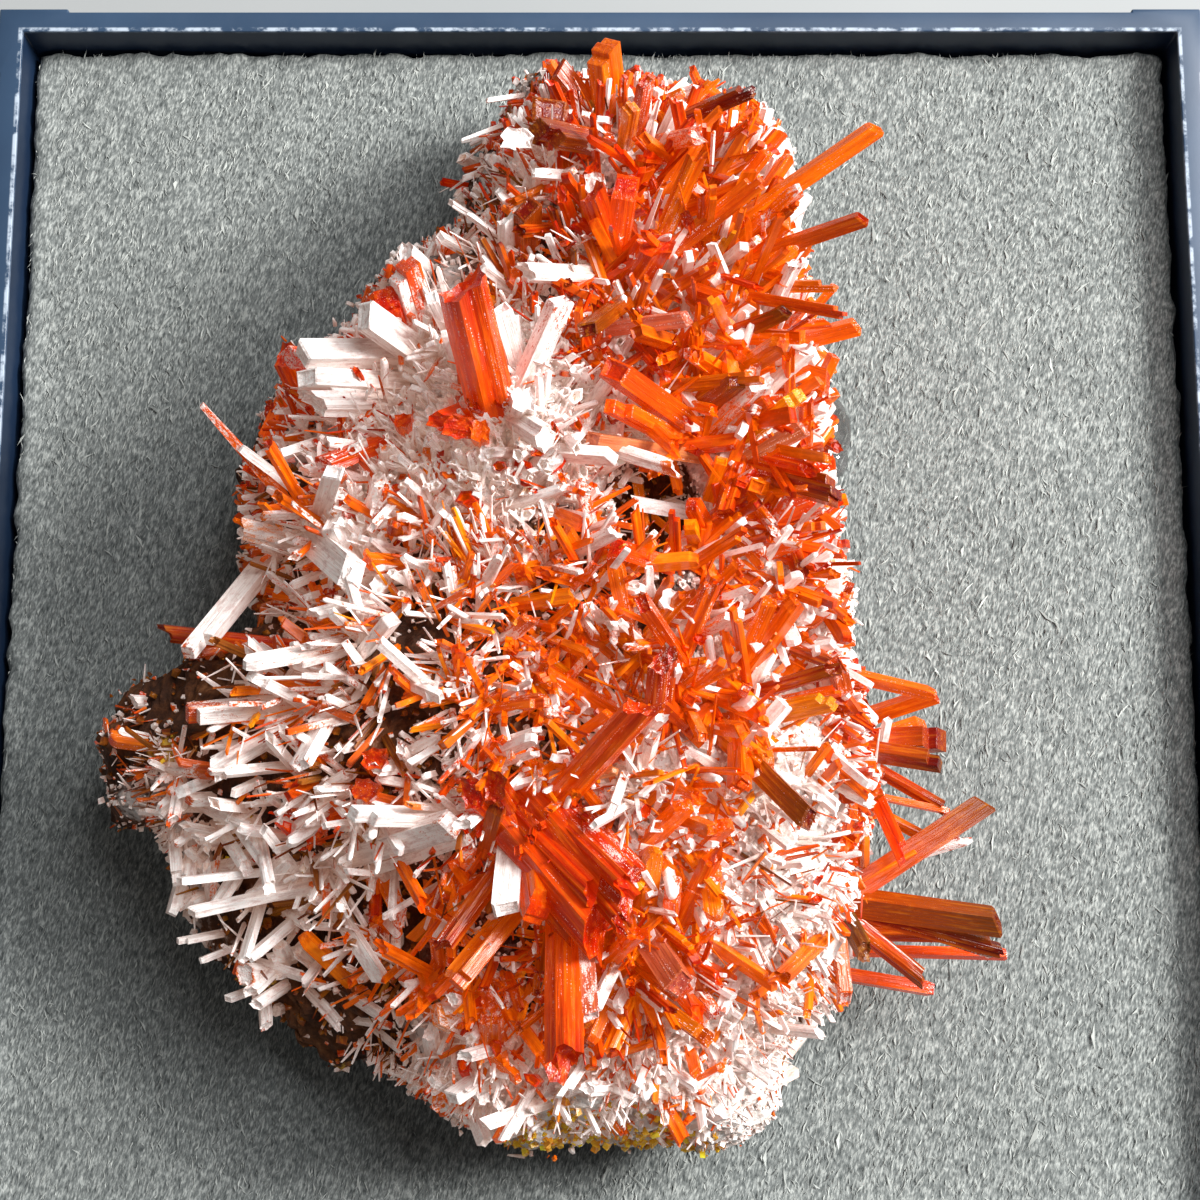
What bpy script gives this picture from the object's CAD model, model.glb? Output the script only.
"""The looks of a crocoite specimen in its display box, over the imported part. Metres, +Z up.

The rock and its crystals are set out from the viewer's sight of the specimen, as the solids are: a place
is a point of a picture 1200 pixels square, and the sight line through it meets the rock.
"""

import math
import random
from collections import namedtuple

import bmesh
import bpy
import numpy as np
from mathutils import Matrix, Vector, noise
from mathutils.bvhtree import BVHTree


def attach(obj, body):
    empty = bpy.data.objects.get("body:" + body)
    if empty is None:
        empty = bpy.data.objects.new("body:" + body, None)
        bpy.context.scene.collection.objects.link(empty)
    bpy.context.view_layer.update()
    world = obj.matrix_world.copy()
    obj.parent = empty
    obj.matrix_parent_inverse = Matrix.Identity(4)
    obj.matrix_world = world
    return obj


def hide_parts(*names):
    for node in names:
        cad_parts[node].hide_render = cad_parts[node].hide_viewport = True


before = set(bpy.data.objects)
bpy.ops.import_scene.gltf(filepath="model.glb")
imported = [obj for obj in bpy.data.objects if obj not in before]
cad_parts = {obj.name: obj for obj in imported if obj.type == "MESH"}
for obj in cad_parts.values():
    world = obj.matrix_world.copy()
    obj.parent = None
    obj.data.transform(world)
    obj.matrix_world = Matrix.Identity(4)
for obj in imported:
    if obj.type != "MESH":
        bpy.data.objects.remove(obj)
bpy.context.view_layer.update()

MM = 0.001

# The display box, its pad and the gaps between pieces, as in the solids
BOX_SIDE = 70 * MM
BOX_HEIGHT = 14 * MM
BOX_WALL = 1.4 * MM
BOX_FLOOR = 1.6 * MM
BOX_CORNER = 0.9 * MM
BOX_INNER_CORNER = 1.3 * MM
GAP = 0.3 * MM
PAD_TOP = BOX_HEIGHT - 2.3 * MM
PAD_SIDE = BOX_SIDE - 2 * BOX_WALL - 2 * GAP

# The shallow recess in the top of each outer wall, between the corners
RECESS_LENGTH = 62 * MM
RECESS_THICKNESS = 0.24 * MM
RECESS_LEVEL = 11 * MM

# The viewer's sight, and how many millimetres of rock one step of it covers
SIGHT_CENTRE = 600
SIGHT_FOCAL = 1991
SIGHT_DISTANCE = 110 * MM
SIGHT_TILT = math.radians(10)
SIGHT_STEP = 0.0475

# The rock's outline in the sight, and its rings from the top down: what share of the outline's reach, and
# how high. A swell, pit or ledge is a place with its reach and its height or depth in millimetres, and a
# lump wave is a spacing and a height
ROCK_FOOT = PAD_TOP + GAP
ROCK_HEIGHT = 15.5 * MM
ROCK_CENTRE = (560, 640)
ROCK_OUTLINE = [
    (590, 75), (640, 88), (700, 98), (745, 108), (780, 150), (800, 210), (806, 280), (815, 330),
    (822, 400), (828, 470), (834, 540), (848, 600), (852, 650), (866, 700), (878, 760), (872, 820),
    (860, 880), (850, 950), (846, 1000), (820, 1040), (790, 1070), (760, 1110), (730, 1140), (700, 1152),
    (660, 1145), (600, 1132), (540, 1143), (500, 1135), (450, 1115), (410, 1090), (380, 1078), (330, 1068),
    (280, 1042), (250, 1000), (220, 960), (180, 900), (165, 850), (125, 800), (112, 750), (130, 705),
    (190, 668), (244, 636), (258, 600), (240, 560), (235, 480), (270, 420), (290, 360), (350, 330),
    (370, 290), (400, 255), (430, 240), (460, 215), (480, 160), (500, 120), (530, 85), (560, 65),
]
OUTLINE_LEVEL = ROCK_FOOT + 5 * MM
ROCK_PROFILE = [
    (0.00, 1.00), (0.16, 0.99), (0.31, 0.98), (0.45, 0.95), (0.58, 0.90), (0.70, 0.83), (0.80, 0.74),
    (0.89, 0.62), (0.96, 0.47), (1.00, 0.32), (0.98, 0.19), (0.92, 0.10), (0.85, 0.03), (0.78, 0.00),
    (0.45, 0.00), (0.00, 0.00),
]
SWELLS = [
    ((630, 190), 6, 1.6), ((520, 430), 7, 1.6), ((570, 840), 7, 1.4), ((790, 850), 6, 0.9),
    ((430, 640), 6, 0.8), ((645, 505), 3.2, -2.6), ((300, 950), 5, -3.2), ((225, 872), 3, -1.4),
    ((290, 610), 3.4, -2.0), ((410, 910), 3.6, -2.2), ((600, 680), 2.8, -1.6), ((490, 110), 4, -1.5),
]
LUMP_WAVES = [(6.5, 1.2), (2.6, 0.55)]
LUMP_SEED = 3
PITS = [
    ((648, 508), 2.0, 2.2), ((812, 1036), 1.2, 1.2), ((556, 596), 0.9, 1.2), ((556, 530), 0.8, 1.2),
    ((285, 948), 2.2, 1.6), ((232, 874), 1.3, 1.2), ((400, 905), 1.4, 1.2), ((580, 948), 1.1, 1.1),
    ((300, 1015), 1.8, 1.0), ((790, 1063), 0.9, 0.9), ((635, 592), 0.8, 1.0), ((610, 682), 0.9, 1.2),
    ((535, 730), 0.8, 1.0), ((410, 732), 0.8, 1.0), ((560, 1124), 0.8, 0.8), ((672, 1148), 0.7, 0.8),
]
LEDGES = [
    ((128, 742), 0.9, 0.9), ((150, 700), 1.0, 0.8), ((142, 800), 0.9, 0.9), ((178, 822), 0.8, 0.7),
    ((186, 735), 0.9, 0.8), ((785, 770), 2.6, 0.7), ((770, 890), 3.0, 0.6), ((835, 905), 1.9, 0.7),
    ((760, 1000), 2.2, 0.7), ((730, 1095), 2.4, 0.8), ((640, 1085), 2.2, 0.7), ((560, 1110), 2.0, 0.7),
    ((470, 1080), 2.1, 0.7), ((150, 770), 2.0, 0.9), ((310, 1048), 2.2, 0.6), ((795, 590), 2.3, 0.7),
    ((750, 170), 2.0, 0.7), ((510, 450), 2.6, 0.7), ((590, 500), 2.2, 0.6),
]
ROCK_SIDES = 360
ROCK_RINGS = 170

# Patches of the rock as the viewer sees them: place, the sorts of small crystal on it, how thickly they
# stand, their length in millimetres and how white the crust is there
Patch = namedtuple("Patch", "u v sorts density length crust")
PATCHES = [Patch(*row) for row in [
    (640, 100, "oogrw", 0.52, 3.8, 0.9), (560, 110, "rrdwb", 1.00, 2.2, 0.4),
    (520, 175, "wwprb", 1.20, 2.4, 0.5), (470, 225, "wpbbw", 1.00, 1.8, 0.3),
    (730, 130, "owoog", 0.50, 3.5, 1.0), (600, 215, "rrorw", 1.10, 2.6, 0.4),
    (690, 215, "oorga", 0.52, 4.1, 0.9), (775, 210, "owgow", 0.50, 3.5, 1.0),
    (560, 260, "wprdb", 1.00, 2.2, 0.4), (640, 290, "rrogw", 0.50, 3.5, 0.7),
    (740, 300, "oogaw", 0.50, 4.1, 1.0), (800, 340, "owgow", 0.50, 3.2, 1.0),
    (410, 280, "rwpwr", 0.90, 2.0, 0.5), (450, 350, "wwhpw", 1.00, 2.2, 0.7),
    (340, 360, "wwwpr", 0.90, 2.2, 0.6), (290, 410, "wroww", 1.00, 2.0, 0.4),
    (360, 440, "pwrwg", 1.10, 1.8, 0.6), (440, 430, "wgwhg", 1.49, 1.4, 0.9),
    (500, 470, "wgwgh", 1.72, 1.2, 1.0), (560, 400, "wghwg", 1.49, 1.5, 0.9),
    (610, 370, "orwrr", 1.00, 2.4, 0.6), (690, 390, "oorow", 0.50, 4.1, 0.8),
    (780, 430, "orgow", 0.50, 4.1, 1.0), (600, 460, "wghwo", 1.26, 1.8, 0.8),
    (645, 505, "bpobo", 0.70, 2.6, 0.0), (720, 480, "rorow", 0.50, 3.5, 0.7),
    (800, 530, "ogrww", 0.55, 3.2, 1.0), (250, 480, "rwbow", 0.63, 2.4, 0.2),
    (300, 540, "wwbpo", 0.70, 2.4, 0.3), (380, 540, "wwopw", 0.77, 2.4, 0.4),
    (460, 560, "wopwap", 1.50, 2.4, 0.2), (540, 560, "owpaop", 1.50, 2.6, 0.1),
    (620, 590, "wopopa", 1.20, 2.6, 0.0), (700, 570, "oorow", 0.50, 3.8, 0.5),
    (770, 620, "owgwo", 0.52, 3.6, 1.0), (835, 610, "owoww", 0.56, 3.0, 1.0),
    (270, 610, "bwdppb", 0.60, 2.3, 0.1), (330, 660, "wpbpow", 0.90, 2.8, 0.2),
    (410, 640, "wppowa", 1.20, 2.6, 0.1), (500, 640, "wopaop", 1.70, 2.4, 0.1),
    (600, 680, "opwoap", 1.40, 2.6, 0.1), (680, 680, "oorow", 0.50, 3.8, 0.5),
    (210, 680, "bwdbpp", 0.60, 1.8, 0.1), (240, 730, "wwabw", 0.48, 3.4, 0.2),
    (330, 740, "wwpobp", 0.90, 2.6, 0.1), (430, 740, "wpwowp", 1.00, 2.3, 0.2),
    (520, 740, "owpoa", 0.95, 2.4, 0.2), (620, 770, "oawww", 1.00, 2.4, 0.7),
    (700, 760, "oowgo", 0.50, 3.6, 0.9), (140, 740, "bwbpoc", 1.50, 1.2, 0.2),
    (150, 800, "bwwbpp", 1.50, 1.3, 0.4), (230, 800, "wwwwb", 0.26, 2.8, 0.3),
    (320, 800, "wwwrb", 0.53, 2.5, 0.3), (400, 800, "wwpwb", 0.48, 2.8, 0.4),
    (480, 800, "prwpr", 0.90, 2.0, 0.4), (570, 850, "rmror", 0.50, 2.0, 0.3),
    (790, 760, "wwwow", 0.31, 2.2, 1.0), (850, 720, "wrorw", 0.56, 3.0, 1.0),
    (180, 870, "wwwwb", 0.31, 2.4, 0.6), (250, 880, "wwwbb", 0.48, 3.2, 0.2),
    (340, 880, "wwwpb", 0.53, 3.0, 0.3), (420, 880, "pwoob", 0.48, 2.8, 0.3),
    (680, 860, "ooaww", 1.00, 2.4, 0.6), (790, 880, "wwwwo", 0.50, 1.4, 1.0),
    (850, 880, "rooww", 0.80, 1.8, 0.7), (220, 960, "wwbwb", 0.44, 2.3, 0.3),
    (300, 960, "wbbbw", 0.29, 2.5, 0.0), (370, 960, "wwpbob", 0.80, 2.5, 0.2),
    (440, 960, "oowpo", 0.48, 2.8, 0.3), (530, 980, "ooarw", 1.00, 2.4, 0.4),
    (640, 960, "oorow", 1.00, 2.6, 0.5), (740, 960, "owwwo", 0.90, 2.0, 0.8),
    (820, 980, "wwoww", 0.80, 1.6, 0.9), (290, 1030, "bbbbw", 0.40, 0.9, 0.0),
    (380, 1050, "wbbwb", 0.35, 1.4, 0.2), (440, 1040, "wwwop", 1.10, 1.8, 0.7),
    (520, 1060, "wwoww", 1.00, 1.4, 0.8), (620, 1060, "wowwo", 1.00, 1.4, 0.8),
    (710, 1040, "wowww", 0.90, 1.4, 0.9), (560, 1120, "wwwaw", 0.90, 1.0, 0.9),
    (680, 1110, "wwowa", 0.90, 1.1, 0.9), (780, 1060, "wwwbw", 0.80, 1.0, 0.8),
]]

# How ragged the patches' bounds are, and how far the crust blends across them, in steps of the sight
PATCH_RAGGED = 12
CRUST_BLEND = 28

# Where the rock shows ochre: places and reaches in millimetres
OCHRE_SPOTS = [
    ((166, 752), 1.1), ((296, 1066), 0.9), ((350, 1080), 0.9), ((560, 1128), 2.0), ((610, 1138), 2.2),
    ((660, 1142), 2.0), ((700, 1155), 1.6), ((240, 545), 1.2), ((255, 985), 1.2), ((520, 1138), 1.4),
    ((235, 862), 0.9), ((245, 820), 0.9), ((178, 905), 0.9),
]

# Large crystals of each spray, as in the solids: the heart's place and radius, then for each crystal its
# root and tip in the sight, the tip's rise and the width in millimetres, and its sort and form
SPRAYS = {
    "top_fan": ((622, 128), 2.3, [
        (612, 112, 602, 42, 3.0, 1.6, "ol"), (628, 112, 697, 88, 1.6, 0.7, "of"),
        (645, 130, 755, 88, 2.4, 0.8, "dl"), (632, 150, 632, 105, 3.6, 0.8, "al"),
        (642, 146, 646, 78, 2.8, 0.7, "rf"), (600, 122, 556, 66, 1.4, 0.9, "rf"),
        (606, 140, 540, 132, 2.2, 1.2, "df"), (655, 140, 700, 135, 2.8, 0.9, "of"),
    ]),
    "upper_middle_spray": ((632, 270), 2.5, [
        (600, 285, 628, 172, 3.4, 1.4, "rf"), (622, 300, 662, 236, 3.0, 1.7, "rf"),
        (655, 262, 762, 178, 3.0, 1.0, "ol"), (648, 262, 700, 150, 3.2, 0.9, "of"),
        (618, 262, 590, 184, 3.2, 1.3, "rh"), (605, 272, 520, 272, 1.6, 0.9, "pf"),
        (640, 290, 585, 332, 2.4, 0.8, "df"),
    ]),
    "upper_right_spray": ((712, 256), 2.3, [
        (700, 245, 880, 125, 3.6, 0.8, "os"), (722, 262, 867, 217, 2.4, 0.7, "es"),
        (736, 280, 800, 246, 1.4, 0.6, "af"), (702, 262, 685, 212, 3.0, 0.6, "rf"),
        (736, 248, 803, 185, 1.8, 0.7, "of"), (730, 284, 836, 286, 1.6, 0.6, "of"),
        (735, 290, 846, 314, 0.9, 0.6, "ol"),
    ]),
    "middle_right_spray": ((722, 432), 2.8, [
        (712, 438, 764, 378, 3.6, 1.1, "of"), (682, 400, 738, 380, 3.4, 0.8, "ds"),
        (742, 440, 802, 392, 2.4, 0.9, "al"), (744, 458, 806, 427, 1.6, 0.8, "ks"),
        (700, 428, 610, 368, 3.2, 1.3, "rs"), (690, 445, 612, 405, 2.6, 0.9, "of"),
        (752, 468, 842, 494, 1.0, 1.3, "dl"), (700, 462, 590, 440, 2.2, 0.9, "ks"),
        (735, 470, 722, 520, 2.4, 1.0, "rh"), (760, 455, 812, 470, 1.8, 0.8, "rf"),
    ]),
    "left_prism": ((494, 398), 2.4, [
        (490, 414, 460, 272, 6.4, 2.2, "eb"), (516, 378, 500, 308, 2.8, 0.9, "wf"),
        (526, 386, 512, 318, 2.2, 0.7, "wf"), (520, 402, 562, 296, 2.6, 1.0, "pf"),
        (470, 410, 436, 425, 2.4, 1.2, "rh"), (520, 420, 548, 440, 2.0, 1.1, "wh"),
    ]),
    "left_slabs": ((410, 365), 2.7, [
        (448, 350, 360, 313, 2.2, 1.3, "gf"), (425, 348, 298, 355, 1.6, 1.2, "wf"),
        (392, 378, 300, 378, 1.2, 1.1, "gf"), (388, 404, 304, 403, 1.2, 1.2, "gf"),
        (425, 332, 402, 262, 3.0, 1.5, "pl"), (400, 345, 384, 298, 3.2, 1.6, "rl"),
        (372, 368, 286, 362, 0.4, 1.4, "rf"),
    ]),
    "left_blade_spray": ((288, 530), 2.5, [
        (268, 548, 191, 655, 1.6, 1.1, "wf"), (290, 505, 200, 403, 1.6, 0.7, "on"),
        (300, 545, 236, 526, 1.0, 1.0, "cf"), (300, 510, 266, 440, 1.6, 0.6, "of"),
        (310, 540, 356, 576, 2.6, 1.4, "gf"), (318, 520, 334, 470, 2.6, 0.9, "wf"),
        (308, 555, 370, 606, 2.0, 0.8, "wf"),
    ]),
    "lower_left_rods": ((330, 886), 2.7, [
        (342, 878, 188, 914, 1.4, 0.55, "wf"), (348, 884, 470, 838, 3.0, 0.5, "gf"),
        (318, 866, 176, 882, 1.4, 0.5, "wf"), (334, 915, 384, 984, 1.6, 0.7, "wf"),
        (318, 905, 246, 962, 1.2, 0.6, "wf"), (300, 880, 262, 828, 2.4, 0.5, "wf"),
        (350, 862, 358, 800, 2.8, 0.5, "wf"), (330, 860, 455, 822, 3.6, 1.15, "gf"),
    ]),
    "red_mass": ((560, 858), 3.2, [
        (502, 796, 624, 930, 2.8, 3.9, "mr"), (544, 796, 644, 908, 2.8, 2.4, "mb"),
        (516, 848, 592, 938, 1.8, 2.2, "mb"), (486, 790, 546, 850, 1.4, 2.0, "mr"),
        (545, 812, 650, 698, 3.6, 1.4, "er"), (508, 834, 506, 912, 2.8, 1.2, "wf"),
        (528, 838, 540, 918, 2.8, 1.4, "ol"), (560, 900, 564, 1074, 3.4, 1.7, "er"),
        (530, 895, 455, 988, 2.0, 1.0, "ol"), (590, 900, 590, 1020, 2.0, 0.9, "ks"),
        (505, 870, 440, 950, 1.4, 0.9, "er"),
    ]),
    "lower_right_spray": ((728, 708), 2.6, [
        (708, 730, 812, 822, 2.6, 1.0, "ds"), (742, 708, 740, 788, 3.0, 0.9, "os"),
        (756, 712, 836, 700, 2.4, 0.9, "al"), (750, 690, 842, 666, 2.4, 0.8, "df"),
        (744, 676, 800, 598, 3.2, 0.8, "of"), (732, 680, 770, 600, 3.4, 0.7, "of"),
        (712, 720, 770, 768, 1.6, 0.8, "af"), (705, 690, 640, 600, 2.8, 0.8, "rf"),
    ]),
    "right_spray": ((852, 905), 2.6, [
        (864, 896, 988, 800, 1.4, 1.2, "ds"), (868, 902, 1005, 922, 0.8, 1.2, "ds"),
        (866, 925, 1008, 950, 0.0, 0.9, "dl"), (870, 914, 1000, 955, 1.0, 0.7, "rf"),
        (860, 935, 932, 986, -0.6, 0.9, "df"), (846, 915, 868, 958, 2.2, 0.9, "bf"),
        (858, 880, 922, 846, 1.4, 0.8, "of"), (838, 930, 776, 982, 2.0, 0.8, "of"),
        (850, 940, 846, 1004, 0.8, 0.8, "af"),
    ]),
    "right_cluster": ((866, 742), 2.4, [
        (866, 716, 938, 693, 1.0, 0.8, "rf"), (876, 738, 944, 738, 1.0, 1.5, "df"),
        (874, 752, 942, 762, 0.6, 1.0, "df"), (880, 768, 950, 812, 0.0, 0.7, "df"),
        (868, 770, 906, 862, -0.4, 0.8, "rf"), (850, 720, 836, 664, 2.0, 0.9, "of"),
        (862, 768, 848, 846, 1.4, 0.8, "of"), (878, 726, 926, 722, 0.4, 0.9, "pf"),
    ]),
}

# How deep a spray's heart and a crystal's root lie, how far behind its root a crystal starts, and how it is
# lifted until it is clear of the rock
SPRAY_SEED = 11
HEART_DEPTH = 0.45
ROOT_DEPTH = 0.4 * MM
ROOT_START = 0.6 * MM
ROOT_REACH = 0.7
LIFT = 0.4 * MM
MOST_LIFTS = 8
PRISM_DEPTH = 0.82

# Large crystals that grow straight from the rock, also in the solids
ROCK_CRYSTALS = [
    (728, 340, 788, 310, 2.4, 0.7, "df"), (764, 350, 860, 325, 1.4, 0.8, "of"),
    (738, 372, 785, 342, 3.0, 0.9, "of"), (772, 358, 832, 385, 0.8, 1.1, "of"),
    (730, 350, 690, 318, 2.4, 0.9, "pf"), (300, 648, 156, 632, 0.6, 0.8, "dr"),
    (345, 645, 240, 665, 2.2, 0.7, "pf"), (318, 708, 250, 675, 2.4, 0.7, "wf"),
    (296, 700, 184, 715, 1.4, 1.1, "pl"), (335, 700, 300, 768, 2.2, 0.8, "wf"),
    (345, 670, 392, 618, 2.8, 0.8, "gf"), (300, 720, 208, 773, 1.2, 0.8, "wf"),
    (660, 738, 664, 652, 3.6, 1.3, "rf"), (630, 718, 540, 668, 2.0, 0.8, "of"),
    (640, 690, 612, 548, 3.0, 0.9, "of"), (672, 690, 716, 576, 3.2, 0.8, "of"),
    (668, 720, 610, 760, 2.4, 0.9, "of"), (640, 705, 500, 690, 1.8, 0.8, "pf"),
    (640, 950, 682, 984, 3.0, 1.3, "rf"), (634, 984, 712, 1042, 2.2, 0.9, "al"),
    (648, 930, 654, 846, 3.0, 0.8, "af"), (672, 950, 672, 882, 3.0, 0.9, "of"),
    (676, 944, 715, 852, 3.2, 0.9, "of"), (620, 985, 588, 1046, 1.6, 0.7, "of"),
    (672, 985, 700, 1016, 2.4, 0.8, "of"), (640, 990, 608, 1056, 1.4, 0.7, "of"),
    (532, 1080, 500, 1144, 0.8, 0.8, "pf"), (505, 1050, 430, 1012, 1.6, 0.9, "wf"),
    (510, 1040, 486, 996, 2.4, 0.9, "of"), (500, 1068, 450, 1100, 1.0, 0.8, "wf"),
]
ROCK_CRYSTAL_SEED = 47

# Further crystals that only the looks have
UPPER_CRYSTALS = [
    (620, 60, 600, 96, 1.0, 1.2, "rh"), (556, 132, 548, 108, 1.4, 1.6, "df"),
    (540, 140, 512, 138, 1.6, 1.3, "wh"), (580, 146, 536, 141, 1.8, 0.5, "df"),
    (560, 170, 550, 152, 1.4, 0.7, "wh"), (592, 172, 530, 173, 2.2, 0.6, "wf"),
    (528, 180, 504, 205, 1.2, 0.6, "pf"), (552, 180, 510, 204, 1.4, 0.5, "of"),
    (506, 264, 506, 212, 1.8, 0.8, "wf"), (526, 252, 527, 204, 1.6, 1.1, "df"),
    (488, 268, 520, 276, 1.6, 0.7, "pf"), (600, 205, 594, 180, 2.0, 1.2, "ph"),
    (648, 215, 700, 134, 2.0, 0.8, "of"), (662, 214, 762, 180, 1.8, 0.9, "ol"),
    (695, 272, 684, 220, 2.2, 0.5, "of"), (745, 330, 836, 322, 1.4, 0.5, "of"),
    (790, 338, 836, 284, 1.2, 0.45, "of"), (720, 332, 786, 311, 2.0, 0.5, "df"),
    (585, 330, 690, 318, 3.2, 0.7, "ks"), (660, 386, 763, 377, 3.4, 0.6, "of"),
    (714, 430, 770, 400, 3.0, 0.7, "of"), (808, 470, 806, 396, 1.2, 0.75, "of"),
    (774, 450, 800, 466, 1.4, 0.5, "df"), (822, 350, 832, 368, 0.6, 0.9, "af"),
    (712, 300, 760, 262, 1.8, 0.5, "af"), (700, 320, 742, 350, 1.6, 0.5, "of"),
    (676, 330, 640, 300, 1.6, 0.6, "of"), (700, 170, 742, 126, 1.6, 0.6, "of"),
    (728, 200, 768, 150, 1.6, 0.6, "of"), (752, 170, 784, 128, 1.0, 0.8, "of"),
    (760, 120, 700, 84, 0.8, 0.6, "of"), (712, 96, 690, 66, 1.0, 0.5, "of"),
    (770, 232, 800, 262, 0.8, 0.5, "of"), (742, 222, 792, 152, 1.2, 0.6, "of"),
    (668, 128, 720, 74, 1.6, 0.5, "af"), (590, 160, 566, 118, 2.0, 0.7, "rf"),
    (575, 230, 560, 190, 1.8, 0.7, "rf"), (640, 242, 612, 200, 2.4, 0.7, "rf"),
    (625, 215, 640, 168, 2.6, 0.6, "rf"), (575, 95, 548, 60, 1.0, 0.5, "of"),
    (530, 230, 498, 190, 1.2, 0.5, "wf"), (470, 250, 438, 236, 0.8, 0.5, "wf"),
    (500, 230, 446, 200, 0.9, 0.4, "wf"), (520, 290, 480, 264, 1.6, 0.5, "wf"),
    (760, 300, 806, 232, 1.6, 0.6, "of"),
]
LEFT_CRYSTALS = [
    (494, 300, 462, 298, 4.6, 0.5, "af"), (430, 270, 404, 250, 1.8, 1.0, "wh"),
    (455, 340, 430, 296, 2.4, 0.74, "gf"), (395, 385, 330, 392, 1.6, 0.57, "wf"),
    (300, 392, 282, 350, 0.8, 1.3, "rf"), (280, 398, 264, 440, 0.8, 0.6, "of"),
    (300, 430, 256, 456, 1.2, 0.37, "wf"), (330, 436, 278, 456, 1.4, 0.57, "wf"),
    (385, 440, 318, 468, 1.6, 1.1, "rh"), (340, 460, 300, 472, 1.4, 0.57, "wf"),
    (466, 424, 456, 428, 1.6, 1.3, "rh"), (484, 436, 480, 430, 1.8, 1.1, "oh"),
    (410, 430, 402, 418, 1.4, 0.9, "rh"), (530, 450, 616, 456, 1.6, 0.74, "gf"),
    (524, 410, 524, 398, 1.8, 1.3, "wh"), (300, 495, 238, 446, 1.2, 0.57, "wf"),
    (300, 500, 262, 512, 1.0, 0.6, "of"), (360, 578, 330, 518, 1.8, 1.15, "gf"),
    (412, 556, 360, 537, 1.4, 0.37, "wf"), (410, 562, 366, 562, 1.2, 0.7, "of"),
    (424, 470, 370, 530, 1.8, 0.49, "wf"), (320, 524, 304, 552, 1.0, 0.29, "wf"),
    (372, 596, 306, 616, 1.8, 0.57, "wf"), (352, 634, 300, 648, 1.8, 0.41, "pf"),
    (316, 714, 252, 676, 1.8, 0.49, "wf"), (296, 764, 208, 774, 1.6, 0.49, "wf"),
    (214, 782, 180, 792, 1.0, 0.74, "wf"), (214, 800, 184, 800, 0.8, 0.57, "wf"),
    (145, 744, 106, 738, 0.4, 0.7, "of"), (148, 738, 116, 731, 0.6, 0.41, "wf"),
    (186, 806, 240, 828, 1.2, 0.41, "wf"), (455, 818, 352, 816, 3.2, 0.90, "gf"),
    (376, 766, 374, 758, 1.6, 1.2, "rh"), (366, 796, 364, 788, 1.4, 1.3, "rh"),
    (288, 832, 287, 826, 1.2, 0.7, "rh"), (384, 580, 378, 584, 1.4, 0.9, "wh"),
    (172, 886, 252, 855, 1.8, 0.57, "wf"), (186, 800, 256, 830, 1.6, 0.49, "wf"),
    (190, 912, 256, 900, 1.8, 0.49, "wf"), (260, 906, 312, 892, 2.0, 0.41, "wf"),
    (250, 906, 286, 856, 2.4, 0.74, "gf"), (264, 898, 244, 962, 1.6, 0.49, "wf"),
    (254, 960, 306, 977, 1.4, 0.49, "wf"), (262, 972, 242, 974, 1.2, 1.1, "wh"),
    (330, 944, 302, 986, 1.2, 0.41, "wf"), (362, 914, 376, 936, 1.2, 0.29, "wf"),
    (376, 934, 404, 966, 1.4, 0.29, "wf"), (290, 950, 312, 928, 1.2, 0.20, "wf"),
    (346, 980, 318, 990, 1.0, 0.20, "wf"), (348, 1000, 384, 1017, 1.2, 0.49, "wf"),
    (344, 1020, 394, 1026, 1.0, 0.37, "wf"), (375, 1032, 402, 1052, 0.8, 0.37, "wf"),
    (268, 916, 302, 904, 1.4, 0.4, "bf"), (168, 826, 178, 884, 0.8, 0.74, "wf"),
    (176, 860, 172, 916, 0.8, 0.66, "wf"), (424, 880, 440, 972, 1.6, 0.5, "of"),
    (446, 900, 451, 964, 1.6, 0.5, "of"), (440, 1000, 482, 1016, 1.2, 0.4, "of"),
    (246, 640, 190, 656, 0.6, 0.5, "df"), (262, 660, 212, 640, 0.9, 0.5, "bf"),
    (240, 700, 196, 672, 1.2, 0.33, "wf"), (270, 690, 220, 690, 1.4, 0.33, "wf"),
    (330, 690, 290, 640, 1.8, 0.41, "wf"), (262, 740, 200, 748, 1.2, 0.33, "wf"),
    (280, 760, 232, 728, 1.4, 0.33, "pf"), (230, 770, 176, 762, 1.0, 0.37, "pf"),
    (240, 850, 190, 838, 1.4, 0.49, "wf"), (216, 868, 186, 850, 1.2, 0.41, "wf"),
    (290, 840, 236, 828, 1.6, 0.49, "wf"), (330, 820, 286, 846, 1.8, 0.49, "wf"),
    (312, 850, 280, 818, 1.8, 0.41, "wf"), (226, 930, 178, 942, 1.2, 0.41, "wf"),
    (240, 950, 198, 962, 1.0, 0.41, "wf"), (262, 985, 226, 1000, 0.8, 0.41, "wf"),
]
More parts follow.
